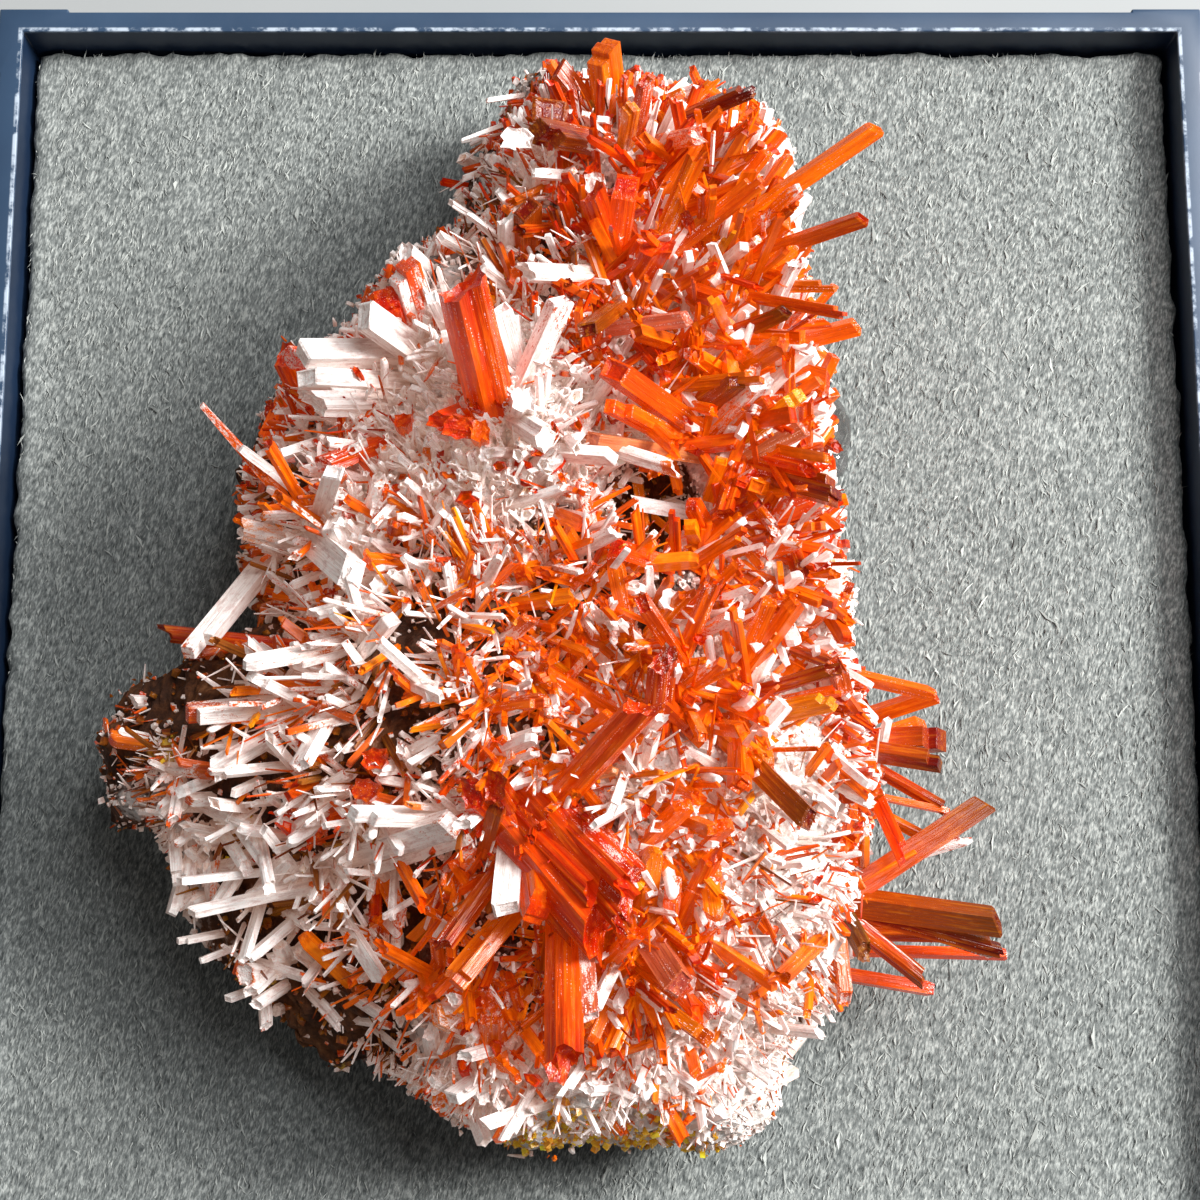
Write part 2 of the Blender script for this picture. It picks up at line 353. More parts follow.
CENTRE_CRYSTALS = [
    (672, 562, 614, 547, 2.6, 1.1, "rf"), (584, 555, 565, 529, 1.8, 0.6, "of"),
    (525, 606, 525, 540, 1.6, 0.33, "wf"), (456, 626, 445, 558, 1.8, 0.41, "wf"),
    (672, 606, 670, 598, 1.8, 1.0, "wh"), (640, 626, 606, 626, 2.2, 0.49, "wf"),
    (500, 642, 536, 614, 2.0, 0.74, "pf"), (590, 710, 538, 668, 1.8, 0.9, "of"),
    (416, 660, 430, 702, 1.6, 0.41, "wf"), (440, 664, 434, 696, 1.6, 0.33, "wf"),
    (398, 766, 440, 734, 1.8, 0.49, "wf"), (384, 735, 406, 775, 1.6, 0.4, "bf"),
    (454, 620, 470, 692, 1.8, 0.33, "pf"), (500, 702, 548, 695, 2.0, 0.37, "pf"),
    (478, 712, 546, 702, 2.2, 0.6, "of"), (530, 716, 590, 735, 1.8, 0.3, "of"),
    (560, 670, 590, 706, 1.8, 0.33, "wf"), (586, 644, 603, 694, 1.8, 0.37, "wf"),
    (600, 634, 610, 682, 2.0, 0.49, "gf"), (576, 784, 616, 770, 1.8, 0.4, "cf"),
    (585, 786, 602, 810, 1.6, 0.6, "af"), (632, 758, 612, 812, 1.8, 0.57, "gf"),
    (680, 762, 640, 796, 1.6, 0.25, "wf"), (672, 762, 686, 786, 1.6, 0.20, "wf"),
    (752, 790, 734, 820, 1.4, 0.4, "af"), (490, 740, 542, 728, 1.8, 0.4, "cf"),
    (490, 770, 540, 752, 1.8, 0.4, "cf"), (585, 440, 686, 473, 2.4, 0.74, "pf"),
    (620, 400, 680, 452, 2.4, 0.8, "of"), (640, 478, 646, 532, 1.6, 0.5, "of"),
    (590, 514, 632, 527, 1.6, 0.3, "of"), (650, 514, 672, 532, 1.6, 0.3, "af"),
    (795, 540, 803, 576, 1.0, 1.0, "df"), (766, 640, 842, 668, 2.2, 0.6, "df"),
    (750, 632, 798, 594, 2.4, 0.6, "of"), (733, 636, 768, 598, 2.4, 0.7, "of"),
    (713, 574, 738, 686, 2.6, 0.45, "of"), (733, 536, 762, 568, 1.8, 0.4, "of"),
    (745, 630, 780, 600, 1.8, 0.41, "wf"), (840, 620, 850, 586, 0.6, 0.5, "of"),
    (690, 530, 740, 500, 2.2, 0.8, "rf"), (760, 520, 820, 500, 1.2, 0.9, "rf"),
    (712, 540, 690, 500, 2.2, 0.8, "rf"), (752, 560, 800, 540, 1.4, 0.6, "of"),
    (700, 600, 742, 560, 2.4, 0.6, "of"), (690, 640, 740, 612, 2.4, 0.6, "of"),
    (640, 640, 600, 600, 2.0, 0.5, "of"), (620, 660, 576, 632, 1.8, 0.4, "of"),
    (560, 600, 600, 560, 1.8, 0.5, "of"), (480, 600, 520, 560, 1.8, 0.4, "of"),
    (540, 640, 500, 600, 1.8, 0.35, "of"), (420, 620, 470, 590, 1.8, 0.33, "pf"),
    (440, 580, 400, 556, 1.6, 0.41, "wf"), (480, 540, 440, 510, 1.6, 0.41, "wf"),
    (560, 560, 540, 500, 1.8, 0.33, "pf"), (592, 540, 580, 480, 2.0, 0.57, "pf"),
    (660, 780, 700, 800, 1.6, 0.6, "of"), (680, 700, 720, 660, 2.6, 0.7, "of"),
    (700, 740, 660, 700, 2.6, 0.7, "rf"), (650, 640, 690, 590, 2.6, 0.7, "of"),
    (470, 660, 420, 640, 1.8, 0.33, "wf"), (510, 680, 460, 720, 1.8, 0.4, "of"),
    (450, 780, 480, 730, 2.0, 0.41, "pf"), (420, 700, 390, 670, 1.8, 0.4, "of"),
    (540, 770, 500, 740, 2.0, 0.5, "of"), (560, 740, 610, 712, 2.2, 0.5, "of"),
    (580, 600, 540, 590, 1.6, 0.33, "pf"), (800, 640, 836, 600, 1.4, 0.5, "of"),
    (790, 700, 842, 690, 1.6, 0.6, "of"),
]
LOWER_CRYSTALS = [
    (738, 700, 745, 788, 2.6, 0.9, "ol"), (755, 722, 769, 771, 1.8, 0.8, "af"),
    (705, 815, 716, 922, 2.2, 0.9, "of"), (652, 852, 640, 886, 2.2, 0.5, "af"),
    (710, 944, 776, 986, 1.8, 0.6, "of"), (776, 980, 754, 997, 1.4, 0.5, "of"),
    (690, 985, 716, 1016, 1.6, 0.7, "of"), (815, 960, 808, 1020, 0.8, 0.5, "af"),
    (836, 955, 848, 1006, 0.6, 0.5, "of"), (500, 925, 452, 981, 2.0, 1.0, "al"),
    (503, 1006, 551, 1066, 1.8, 0.8, "of"), (494, 1050, 492, 1014, 1.6, 1.1, "oh"),
    (645, 928, 681, 986, 3.0, 1.2, "ks"), (668, 1040, 609, 1056, 1.4, 0.4, "of"),
    (628, 1016, 590, 1047, 1.6, 0.4, "of"), (662, 1102, 686, 1146, 0.8, 0.7, "of"),
    (545, 1075, 500, 1146, 1.2, 0.5, "pf"), (628, 950, 586, 1023, 2.6, 0.8, "pf"),
    (460, 930, 446, 880, 1.8, 0.6, "of"), (470, 960, 430, 1000, 1.4, 0.5, "of"),
    (600, 970, 640, 930, 2.4, 0.8, "of"), (476, 905, 450, 860, 2.0, 0.5, "of"),
    (460, 1100, 430, 1080, 0.8, 0.5, "wf"), (480, 1094, 502, 1084, 1.0, 0.5, "wf"),
    (430, 1046, 430, 1030, 1.0, 0.8, "wh"), (590, 1080, 640, 1100, 0.9, 0.4, "wf"),
    (560, 1100, 600, 1080, 1.0, 0.4, "wf"), (700, 900, 660, 860, 2.2, 0.7, "of"),
    (690, 860, 730, 820, 2.2, 0.8, "of"), (640, 850, 690, 800, 2.4, 0.8, "of"),
    (700, 1000, 740, 960, 1.6, 0.5, "of"), (600, 1040, 560, 1100, 1.2, 0.5, "wf"),
    (470, 1040, 520, 1080, 1.4, 0.5, "of"), (600, 940, 560, 900, 3.0, 0.7, "rf"),
    (640, 900, 600, 870, 3.2, 0.6, "rf"), (480, 860, 500, 800, 3.4, 0.9, "df"),
    (500, 820, 468, 790, 3.4, 1.3, "mr"), (510, 812, 492, 782, 3.8, 1.3, "mb"),
    (500, 800, 600, 902, 4.0, 1.1, "mb"), (530, 796, 632, 892, 4.4, 1.0, "mr"),
    (512, 826, 586, 914, 3.4, 1.1, "er"), (556, 850, 626, 930, 4.2, 0.8, "mr"),
    (720, 1070, 700, 1030, 1.2, 0.5, "wf"), (660, 1070, 700, 1090, 1.0, 0.5, "wf"),
]
CRUST_NEEDLES = [
    (848, 718, 797, 785, 1.0, 0.4, "cf"), (808, 740, 800, 770, 0.8, 0.1, "bn"),
    (812, 808, 845, 780, 0.8, 0.3, "on"), (755, 835, 790, 815, 0.8, 0.3, "on"),
    (730, 845, 792, 886, 0.9, 0.25, "bn"), (765, 855, 820, 845, 0.8, 0.3, "on"),
    (780, 860, 820, 852, 0.7, 0.25, "on"), (730, 878, 775, 875, 0.7, 0.25, "on"),
    (780, 872, 800, 863, 0.6, 0.1, "bn"), (825, 866, 790, 876, 0.6, 0.1, "bn"),
    (800, 895, 770, 920, 0.7, 0.1, "bn"), (772, 895, 755, 930, 0.7, 0.15, "bn"),
    (715, 935, 770, 936, 0.8, 0.2, "cn"), (770, 935, 803, 932, 0.7, 0.2, "cn"),
    (740, 890, 725, 912, 0.7, 0.25, "on"), (740, 1040, 790, 1050, 0.7, 0.25, "pn"),
    (700, 1078, 722, 1065, 0.7, 0.4, "of"), (690, 1050, 697, 1075, 0.7, 0.5, "of"),
    (845, 668, 940, 696, 0.8, 0.6, "of"), (895, 700, 870, 726, 0.8, 0.3, "of"),
    (885, 795, 952, 812, 0.2, 0.4, "of"), (903, 812, 933, 842, 0.0, 0.6, "of"),
    (890, 790, 850, 848, 1.0, 0.6, "of"), (895, 822, 865, 872, 0.8, 0.4, "af"),
    (875, 885, 915, 852, 1.4, 0.7, "of"), (870, 962, 1008, 954, 0.0, 0.6, "rf"),
    (880, 930, 925, 985, 0.0, 0.4, "of"), (850, 970, 936, 990, -0.2, 0.8, "rf"),
    (878, 928, 932, 928, 1.0, 0.3, "an"), (880, 868, 972, 838, 0.8, 0.6, "pf"),
    (866, 930, 985, 912, 1.4, 0.7, "rf"), (872, 940, 990, 935, 0.6, 0.8, "df"),
    (800, 780, 830, 742, 0.8, 0.4, "of"), (836, 760, 872, 800, 0.8, 0.5, "of"),
    (850, 820, 880, 790, 0.8, 0.5, "of"), (745, 850, 720, 800, 1.0, 0.3, "on"),
    (760, 900, 820, 905, 0.6, 0.12, "bn"), (740, 920, 790, 900, 0.6, 0.15, "on"),
    (720, 990, 760, 1010, 0.8, 0.3, "on"),
]

# Fields of small crystals that the solids have too: the field's bounds in the sight, how many grow there,
# the shortest and the longest in millimetres, and their width
FIELDS = [
    ((500, 90, 800, 240), 6, 2.2, 4.0, 0.8), ((560, 250, 810, 420), 6, 2.4, 4.4, 0.8),
    ((260, 380, 420, 560), 4, 2.4, 4.4, 0.8), ((420, 420, 620, 620), 7, 2.0, 3.8, 0.8),
    ((620, 480, 830, 680), 7, 2.4, 4.4, 0.8), ((250, 620, 450, 840), 6, 2.4, 4.6, 0.8),
    ((140, 700, 300, 900), 6, 2.4, 4.4, 0.8), ((450, 620, 660, 800), 6, 2.0, 3.6, 0.8),
    ((210, 850, 460, 1040), 7, 2.6, 4.8, 0.8), ((420, 940, 640, 1130), 7, 1.8, 3.4, 0.8),
    ((640, 780, 850, 960), 5, 1.8, 3.4, 0.8), ((650, 960, 830, 1130), 6, 1.8, 3.2, 0.8),
]
FIELD_SEED = 47
FIELD_TRIES = 2

# Fields of short crystals with hollow ends: bounds, and how many
HOLLOWS = [
    ((430, 400, 570, 510), 150), ((330, 420, 450, 520), 36), ((270, 500, 430, 600), 26),
    ((560, 380, 680, 480), 30), ((600, 580, 700, 640), 14), ((190, 820, 420, 980), 30),
    ((640, 780, 700, 860), 10), ((560, 190, 640, 300), 10), ((440, 160, 560, 240), 10),
    ((450, 1020, 700, 1110), 30),
]
HOLLOW_SEED = 8

# The bead of glue, and the smaller one run into it
GLUE_PLACE = (818, 432)
GLUE_HALF_WIDTHS = (1.9 * MM, 2.4 * MM, 1.7 * MM)
SMALL_BEAD_HALF_WIDTHS = (1.3 * MM, 1.3 * MM, 1.0 * MM)

# How much grows by chance, how far in the sight a small crystal may stray past the rock's outline, and how
# long in millimetres a white one grows
SMALL_CLUSTERS = 2550
MOST_STRAY = 22
WHITE_REACH = 2.8
HAIR_SLANT = math.radians(14)
GRAINS = 16000
FIBRES = 46000

# Where each draw by chance starts
FIBRE_SEED = 5
LOOK_SEED = 5
TINT_SEED = 21
SMALL_SEED = 31
GRAIN_SEED = 32


def shade(red, green, blue):
    """A colour given as on a screen, 0 to 255, as the shader wants it."""
    linear = []
    for part in (red, green, blue):
        part = part / 255
        linear.append(part / 12.92 if part <= 0.04045 else ((part + 0.055) / 1.055) ** 2.4)
    return (*linear, 1.0)


# What each sort of crystal looks like: its colour at the root and at the tip, and how much of it a
# white coat covers
Sort = namedtuple("Sort", "root tip coat")
SORTS = {
    "o": Sort(shade(248, 112, 4), shade(242, 92, 2), 0.31),
    "r": Sort(shade(234, 72, 2), shade(208, 42, 2), 0.28),
    "d": Sort(shade(216, 60, 2), shade(116, 16, 4), 0.18),
    "a": Sort(shade(250, 122, 6), shade(250, 130, 14), 0.28),
    "e": Sort(shade(240, 92, 2), shade(196, 44, 2), 0.20),
    "m": Sort(shade(212, 50, 2), shade(196, 34, 2), 0.24),
    "k": Sort(shade(228, 136, 104), shade(214, 112, 86), 0.34),
    "w": Sort(shade(232, 130, 80), shade(238, 112, 44), 0.95),
    "g": Sort(shade(226, 150, 110), shade(226, 150, 110), 1.00),
    "h": Sort(shade(214, 172, 150), shade(210, 164, 142), 0.94),
    "p": Sort(shade(230, 104, 46), shade(228, 88, 24), 0.60),
    "c": Sort(shade(230, 160, 110), shade(236, 176, 128), 0.60),
    "b": Sort(shade(96, 48, 20), shade(140, 70, 26), 0.12),
    "y": Sort(shade(216, 168, 30), shade(236, 196, 60), 0.10),
}
COLOUR_JITTER = 0.10


# The viewer's sight and the rock's form

def sight_line(place):
    """Where the viewer's eye is, and the direction of the sight line through a place in the sight."""
    eye = Vector((0, -math.sin(SIGHT_TILT), math.cos(SIGHT_TILT))) * SIGHT_DISTANCE
    eye.z += BOX_HEIGHT
    ahead = Vector((0, math.sin(SIGHT_TILT), -math.cos(SIGHT_TILT)))
    upward = Vector((0, math.cos(SIGHT_TILT), math.sin(SIGHT_TILT)))
    across = (place[0] - SIGHT_CENTRE) / SIGHT_FOCAL
    along = (SIGHT_CENTRE - place[1]) / SIGHT_FOCAL
    return eye, (ahead + Vector((across, 0, 0)) + upward * along).normalized()


def at_level(place, level):
    """The point at a level that is seen at a place in the sight."""
    eye, direction = sight_line(place)
    return eye + direction * ((level - eye.z) / direction.z)


def seen_at(points):
    """The places in the sight where points are seen."""
    eye, ahead = sight_line((SIGHT_CENTRE, SIGHT_CENTRE))
    upward = np.array((0, math.cos(SIGHT_TILT), math.sin(SIGHT_TILT)))
    away = np.asarray(points) - np.array(eye)
    depth = away @ np.array(ahead)
    across = SIGHT_CENTRE + SIGHT_FOCAL * away[:, 0] / depth
    along = SIGHT_CENTRE - SIGHT_FOCAL * (away @ upward) / depth
    return np.stack([across, along], axis=1)


def on_rock(place, surface):
    """The rock's point and outward direction seen at a place, or the nearest ones beside its edge."""
    eye, direction = sight_line(place)
    point, normal, _, _ = surface.ray_cast(eye, direction)
    if point is None:
        point, normal, _, _ = surface.find_nearest(at_level(place, OUTLINE_LEVEL))
    return point, normal


def outline_reach(angle, centre, outline):
    """How far the rock's outline lies from its centre in one direction."""
    ray = Vector((math.cos(angle), math.sin(angle)))
    for start, end in zip(outline, outline[1:] + outline[:1]):
        side = end - start
        turn = ray.x * side.y - ray.y * side.x
        if abs(turn) < 1e-12:
            continue
        offset = start - centre
        reach = (offset.x * side.y - offset.y * side.x) / turn
        share = (offset.x * ray.y - offset.y * ray.x) / turn
        if reach > 0 and -1e-9 <= share <= 1 + 1e-9:
            return reach
    return 0


def bumps(points, spots, level):
    """How far smooth hills lift each point: a hill over every spot, with its own reach and height."""
    total = np.zeros(len(points))
    for place, reach, height in spots:
        spot = np.array(at_level(place, level)[:2])
        away = np.linalg.norm(points[:, :2] - spot, axis=1) / (reach * MM)
        total += height * MM * np.exp(-away ** 2)
    return total


def deselect():
    """Leaves edit mode, with no object selected."""
    if bpy.context.object and bpy.context.object.mode != "OBJECT":
        bpy.ops.object.mode_set(mode="OBJECT")
    bpy.ops.object.select_all(action="DESELECT")


def make_matrix():
    """The rock and its points: a globe drawn out to the outline, swelled, roughened, pitted and ledged."""
    deselect()
    bpy.ops.mesh.primitive_uv_sphere_add(segments=ROCK_SIDES, ring_count=ROCK_RINGS, radius=1)
    rock = bpy.context.object
    rock.name = "matrix"
    count = len(rock.data.vertices)
    ball = np.empty(count * 3)
    rock.data.vertices.foreach_get("co", ball)
    ball = ball.reshape(-1, 3)
    outline = [at_level(place, OUTLINE_LEVEL).xy for place in ROCK_OUTLINE]
    centre = at_level(ROCK_CENTRE, OUTLINE_LEVEL).xy
    angles = np.arctan2(ball[:, 1], ball[:, 0])
    steps = np.linspace(-math.pi, math.pi, ROCK_SIDES + 1)
    reaches = np.array([outline_reach(angle, centre, outline) for angle in steps])
    reach = np.interp(angles, steps, reaches)
    ring = np.arccos(np.clip(ball[:, 2], -1, 1)) / math.pi * (len(ROCK_PROFILE) - 1)
    shares, rises = zip(*ROCK_PROFILE)
    share = np.interp(ring, range(len(shares)), shares)
    rise = np.interp(ring, range(len(rises)), rises)
    points = np.empty((count, 3))
    points[:, 0] = centre.x + np.cos(angles) * reach * share
    points[:, 1] = centre.y + np.sin(angles) * reach * share
    points[:, 2] = ROCK_FOOT + rise * ROCK_HEIGHT
    points[:, 2] += bumps(points, SWELLS, ROCK_FOOT + ROCK_HEIGHT * 0.9) * np.minimum(1, rise * 1.3)
    free = np.minimum(1, rise * 4)
    noise.seed_set(LUMP_SEED)
    for spacing, height in LUMP_WAVES:
        waves = np.array([noise.noise_vector(Vector(point) / (spacing * MM)) for point in points])
        points += waves * (height * MM * free)[:, None]
    points[:, 2] = np.where(rise > 0, np.maximum(points[:, 2], ROCK_FOOT), ROCK_FOOT - 0.35 * MM)
    set_points(rock, points)
    normals = normals_of(points, corners_of(rock))
    places = seen_at(points)
    lift = np.zeros(count)
    for place, reach, depth in PITS:
        spot = np.array(place)
        away = np.linalg.norm(places - spot, axis=1) * SIGHT_STEP / reach
        lift -= depth * MM * np.exp(-away ** 4) * (normals[:, 2] > -0.2)
    for place, reach, height in LEDGES:
        away = np.linalg.norm(places - np.array(place), axis=1) * SIGHT_STEP / reach
        lift += height * MM * np.exp(-away ** 4) * (normals[:, 2] > 0)
    rough = np.array([rock_roughness(Vector(point) * 1000) for point in points])
    lift += rough * MM * free
    points += normals * lift[:, None]
    points[:, 2] = np.maximum(points[:, 2], PAD_TOP - 0.05 * MM)
    set_points(rock, points)
    return rock, points


def rock_roughness(point):
    """How far the gossan stands out or in at a point, in millimetres: lumps, cells and grit."""
    cells = noise.voronoi(point * 0.55)[0]
    crumbs = noise.voronoi(point * 1.5 + Vector((7, 3, 1)))[0]
    grit = noise.fractal(point * 2.4, 0.6, 2.1, 3)
    return (cells[1] - cells[0]) * 0.55 - 0.2 + (0.35 - crumbs[0]) * 0.45 + grit * 0.14


def corners_of(rock):
    """The rock's faces cut into triangles, as the numbers of their corners, always in the same order."""
    faces = []
    for face in rock.data.polygons:
        ends = tuple(face.vertices)
        lowest = ends.index(min(ends))
        faces.append(ends[lowest:] + ends[:lowest])
    corners = []
    for first, *others in sorted(faces):
        corners += [(first, start, end) for start, end in zip(others, others[1:])]
    return np.array(corners)


def normals_of(points, corners):
    """The outward direction at each point, summed from its triangles always in the same order."""
    sides = points[corners]
    cross = np.cross(sides[:, 1] - sides[:, 0], sides[:, 2] - sides[:, 0])
    normals = np.zeros_like(points)
    for corner in range(3):
        for axis in range(3):
            normals[:, axis] += np.bincount(corners[:, corner], cross[:, axis], len(points))
    return normals / np.maximum(np.linalg.norm(normals, axis=1), 1e-15)[:, None]


def set_points(obj, points):
    """Moves the object's points to new places."""
    obj.data.vertices.foreach_set("co", np.asarray(points, np.float32).ravel())
    obj.data.update()


def patch_of(places, chance):
    """The number of the patch that each place falls in, with ragged bounds between patches."""
    centres = np.array([(patch.u, patch.v) for patch in PATCHES])
    ragged = places + chance.normal(0, PATCH_RAGGED, places.shape)
    return np.argmin(((ragged[:, None, :] - centres[None]) ** 2).sum(2), axis=1)


def crust_at(places):
    """How white the crust is at each place, blended between the patches."""
    centres = np.array([(patch.u, patch.v) for patch in PATCHES])
    whiteness = np.array([patch.crust for patch in PATCHES])
    away = ((places[:, None, :] - centres[None]) ** 2).sum(2)
    weight = np.exp(-away / (2 * CRUST_BLEND ** 2)) + 1e-9
    return (weight @ whiteness) / weight.sum(1)


def ochre_at(places):
    """How ochre the rock is at each place, 0 to 1."""
    ochre = np.zeros(len(places))
    for place, reach in OCHRE_SPOTS:
        away = np.linalg.norm(places - np.array(place), axis=1) * SIGHT_STEP / reach
        ochre = np.maximum(ochre, np.exp(-away ** 2))
    return ochre


def add_number(obj, name, values):
    """A number for each of the object's points, for its material to read."""
    layer = obj.data.attributes.new(name, "FLOAT", "POINT")
    layer.data.foreach_set("value", np.asarray(values, np.float32).ravel())


def dress_matrix(rock, points):
    """Says where the rock is white with crust and where it is ochre, for its finish to read."""
    places = seen_at(points)
    upward = normals_of(points, corners_of(rock))[:, 2]
    crust = crust_at(places) * np.clip((points[:, 2] - ROCK_FOOT) / (6 * MM), 0.15, 1)
    ochre = ochre_at(places) * np.clip(upward * 3, 0, 1)
    low = np.clip(1 - (points[:, 2] - ROCK_FOOT) / (5 * MM), 0, 1)
    ochre = np.clip(ochre + 0.3 * low, 0, 1)
    add_number(rock, "crust", crust * np.clip(0.4 + upward, 0.25, 1))
    add_number(rock, "ochre", ochre)


# Forms that crystals share, each modelled once about the Z axis with its foot at zero

Form = namedtuple("Form", "points faces edge smooth")

# How many ridges and grooves a striated prism has, and the edge number that leaves a hollow's floor bare
RIDGES = 14
BARE_FLOOR = 8


def edit_mesh():
    """The mesh being edited, with nothing selected."""
    bpy.ops.object.mode_set(mode="EDIT")
    bpy.ops.mesh.select_all(action="DESELECT")
    return bmesh.from_edit_mesh(bpy.context.object.data)


def pick(edit, faces):
    """Selects just these faces of the mesh being edited."""
    bpy.ops.mesh.select_all(action="DESELECT")
    for face in faces:
        face.select = True
    edit.select_flush(True)
    bmesh.update_edit_mesh(bpy.context.object.data)


def pick_top(edit):
    """Selects just the faces that look straight up."""
    pick(edit, [face for face in edit.faces if face.normal.z > 0.9])


def pick_uprights(edit, height):
    """Selects the upright edges of a block or a bar of this height."""
    for edge in edit.edges:
        edge.select = abs(edge.verts[0].co.z - edge.verts[1].co.z) > height / 2
    edit.select_flush(True)
    bmesh.update_edit_mesh(bpy.context.object.data)


def taken_form(length, smooth=False, ridge=None):
    """Reads the object that has just been shaped as a form of unit length, and takes it away.

    Its edge number, 0 to 1 at its corners, says where a coat wears off first. A ridge function gives it
    for each point in place of that.
    """
    deselect()
    obj = bpy.context.view_layer.objects.active
    mesh = obj.data
    points = np.array([vert.co for vert in mesh.vertices])
    faces = [tuple(face.vertices) for face in mesh.polygons]
    corner = np.minimum(np.abs(points[:, 0]), np.abs(points[:, 1]))
    edge = np.clip((corner - 0.3) / 0.15, 0, 1)
    if ridge:
        edge = np.array([ridge(point) for point in points], float)
    points[:, 2] /= length
    bpy.data.objects.remove(obj, do_unlink=True)
    return Form(points, faces, edge, smooth)


def new_bar(length, half=0.5):
    """A square bar on the Z axis, its foot at zero."""
    deselect()
    bpy.ops.mesh.primitive_cube_add(size=1, location=(0, 0, 0))
    bar = bpy.context.object
    for vert in bar.data.vertices:
        vert.co = Vector((vert.co.x * half * 2, vert.co.y * half * 2, (vert.co.z + 0.5) * length))
    return bar


def striated_form(seed, steps):
    """A prism ridged along its length, a little uneven, with a broken, sunken end."""
    deselect()
    chance = random.Random(seed)
    bpy.ops.mesh.primitive_cylinder_add(vertices=RIDGES, radius=0.5, depth=8, location=(0, 0, 0))
    bar = bpy.context.object
    pick_uprights(edit_mesh(), 8)
    bpy.ops.mesh.subdivide(number_cuts=2)
    pick_top(bmesh.from_edit_mesh(bar.data))
    bpy.ops.mesh.inset(thickness=0.13, depth=0)
    bpy.ops.transform.translate(value=(0, 0, -0.3))
    deselect()
    heights = []
    for side in range(RIDGES):
        heights.append(chance.uniform(0, 0.05) if side % 2 else chance.uniform(-0.12, -0.04))
    breaks = [chance.uniform(-steps, 0.05) for _ in range(RIDGES)]
    for vert in bar.data.vertices:
        turn = math.atan2(vert.co.y, vert.co.x)
        side = ridge_number(vert.co)
        squareness = (0.5 / max(abs(math.cos(turn)), abs(math.sin(turn)))) ** 0.75 * 0.86
        reach = (squareness + heights[side]) * vert.co.xy.length / 0.5 * chance.uniform(0.97, 1.03)
        level = vert.co.z + 4
        if level > 7.6:
            level += breaks[side // 3 * 3]
        vert.co = Vector((math.cos(turn) * reach, math.sin(turn) * reach, level))
    edit_mesh()
    bpy.ops.mesh.select_all(action="SELECT")
    bpy.ops.mesh.quads_convert_to_tris()
    return taken_form(8, ridge=on_ridge)


def ridge_number(point):
    """Which ridge or groove of a striated prism a point lies on."""
    return round((math.atan2(point[1], point[0]) - math.pi / 2) / (2 * math.pi / RIDGES)) % RIDGES


def on_ridge(point):
    """Whether a point of a striated prism lies on a ridge, out at its side."""
    return ridge_number(point) % 2 and math.hypot(point[0], point[1]) > 0.4


def plain_form():
    """A prism with its edges cut off and a small bevelled end."""
    new_bar(8)
    pick_uprights(edit_mesh(), 8)
    bpy.ops.mesh.bevel(offset=0.13, segments=1, affect="EDGES")
    pick_top(bmesh.from_edit_mesh(bpy.context.object.data))
    bpy.ops.mesh.extrude_region_move(TRANSFORM_OT_translate={"value": (0, 0, 0.18)})
    bpy.ops.transform.resize(value=(0.72, 0.72, 1))
    return taken_form(8.18)


def smooth_form():
    """A glassy prism of unequal flat faces, its end slanting with a small step."""
    new_bar(8)
    pick_uprights(edit_mesh(), 8)
    bpy.ops.mesh.bevel(offset=0.2, segments=2, affect="EDGES", profile=0.45)
    pick_top(bmesh.from_edit_mesh(bpy.context.object.data))
    bpy.ops.mesh.extrude_region_move(TRANSFORM_OT_translate={"value": (0.03, 0, 0.14)})
    bpy.ops.transform.resize(value=(0.84, 0.8, 1))
    bpy.ops.mesh.inset(thickness=0.12, depth=0)
    bpy.ops.transform.translate(value=(0.04, 0.02, -0.16))
    deselect()
    for vert in bpy.context.object.data.vertices:
        turn = math.atan2(vert.co.y, vert.co.x)
        vert.co.xy *= 1 + 0.07 * math.sin(turn * 3 + 0.6) - 0.05 * math.cos(turn * 2)
    return taken_form(8.14)


def lath_form(laths):
    """Thin prisms grown side by side to different lengths."""
    bars = []
    for left, right, back, front, length in laths:
        bar = new_bar(length * 8)
        for vert in bar.data.vertices:
            vert.co.x = left if vert.co.x < 0 else right
            vert.co.y = back if vert.co.y < 0 else front
        bars.append(bar)
    deselect()
    for bar in bars:
        bar.select_set(True)
    bpy.context.view_layer.objects.active = bars[0]
    bpy.ops.object.join()
    edit_mesh()
    bpy.ops.mesh.select_all(action="SELECT")
    bpy.ops.mesh.bevel(offset=0.035, segments=1, affect="EDGES")
    return taken_form(8)


def hollow_form(seed, sides):
    """A short uneven prism with a ragged rim round a hollow in its end."""
    chance = random.Random(seed)
    deselect()
    bpy.ops.mesh.primitive_cylinder_add(vertices=sides, radius=0.56, depth=2, location=(0, 0, 0))
    pick_top(edit_mesh())
    bpy.ops.mesh.inset(thickness=0.14, depth=0)
    bpy.ops.mesh.extrude_region_move(TRANSFORM_OT_translate={"value": (0.04, 0, -0.5)})
    bpy.ops.transform.resize(value=(0.75, 0.7, 1))
    deselect()
    pull = [chance.uniform(0.75, 1.3) for _ in range(sides)]
    for vert in bpy.context.object.data.vertices:
        side = round(math.atan2(vert.co.y, vert.co.x) / (2 * math.pi) * sides) % sides
        vert.co.xy *= pull[side] * chance.uniform(0.94, 1.06)
        vert.co.z += 1 + chance.uniform(-0.16, 0.06) * (vert.co.z > 0.9)
    return taken_form(2, ridge=lambda point: BARE_FLOOR if 1.2 < point[2] < 1.7 else 0)


def needle_form():
    """A thin four-sided needle that narrows to its end."""
    new_bar(10)
    pick_top(edit_mesh())
    bpy.ops.transform.resize(value=(0.5, 0.35, 1))
    return taken_form(10)


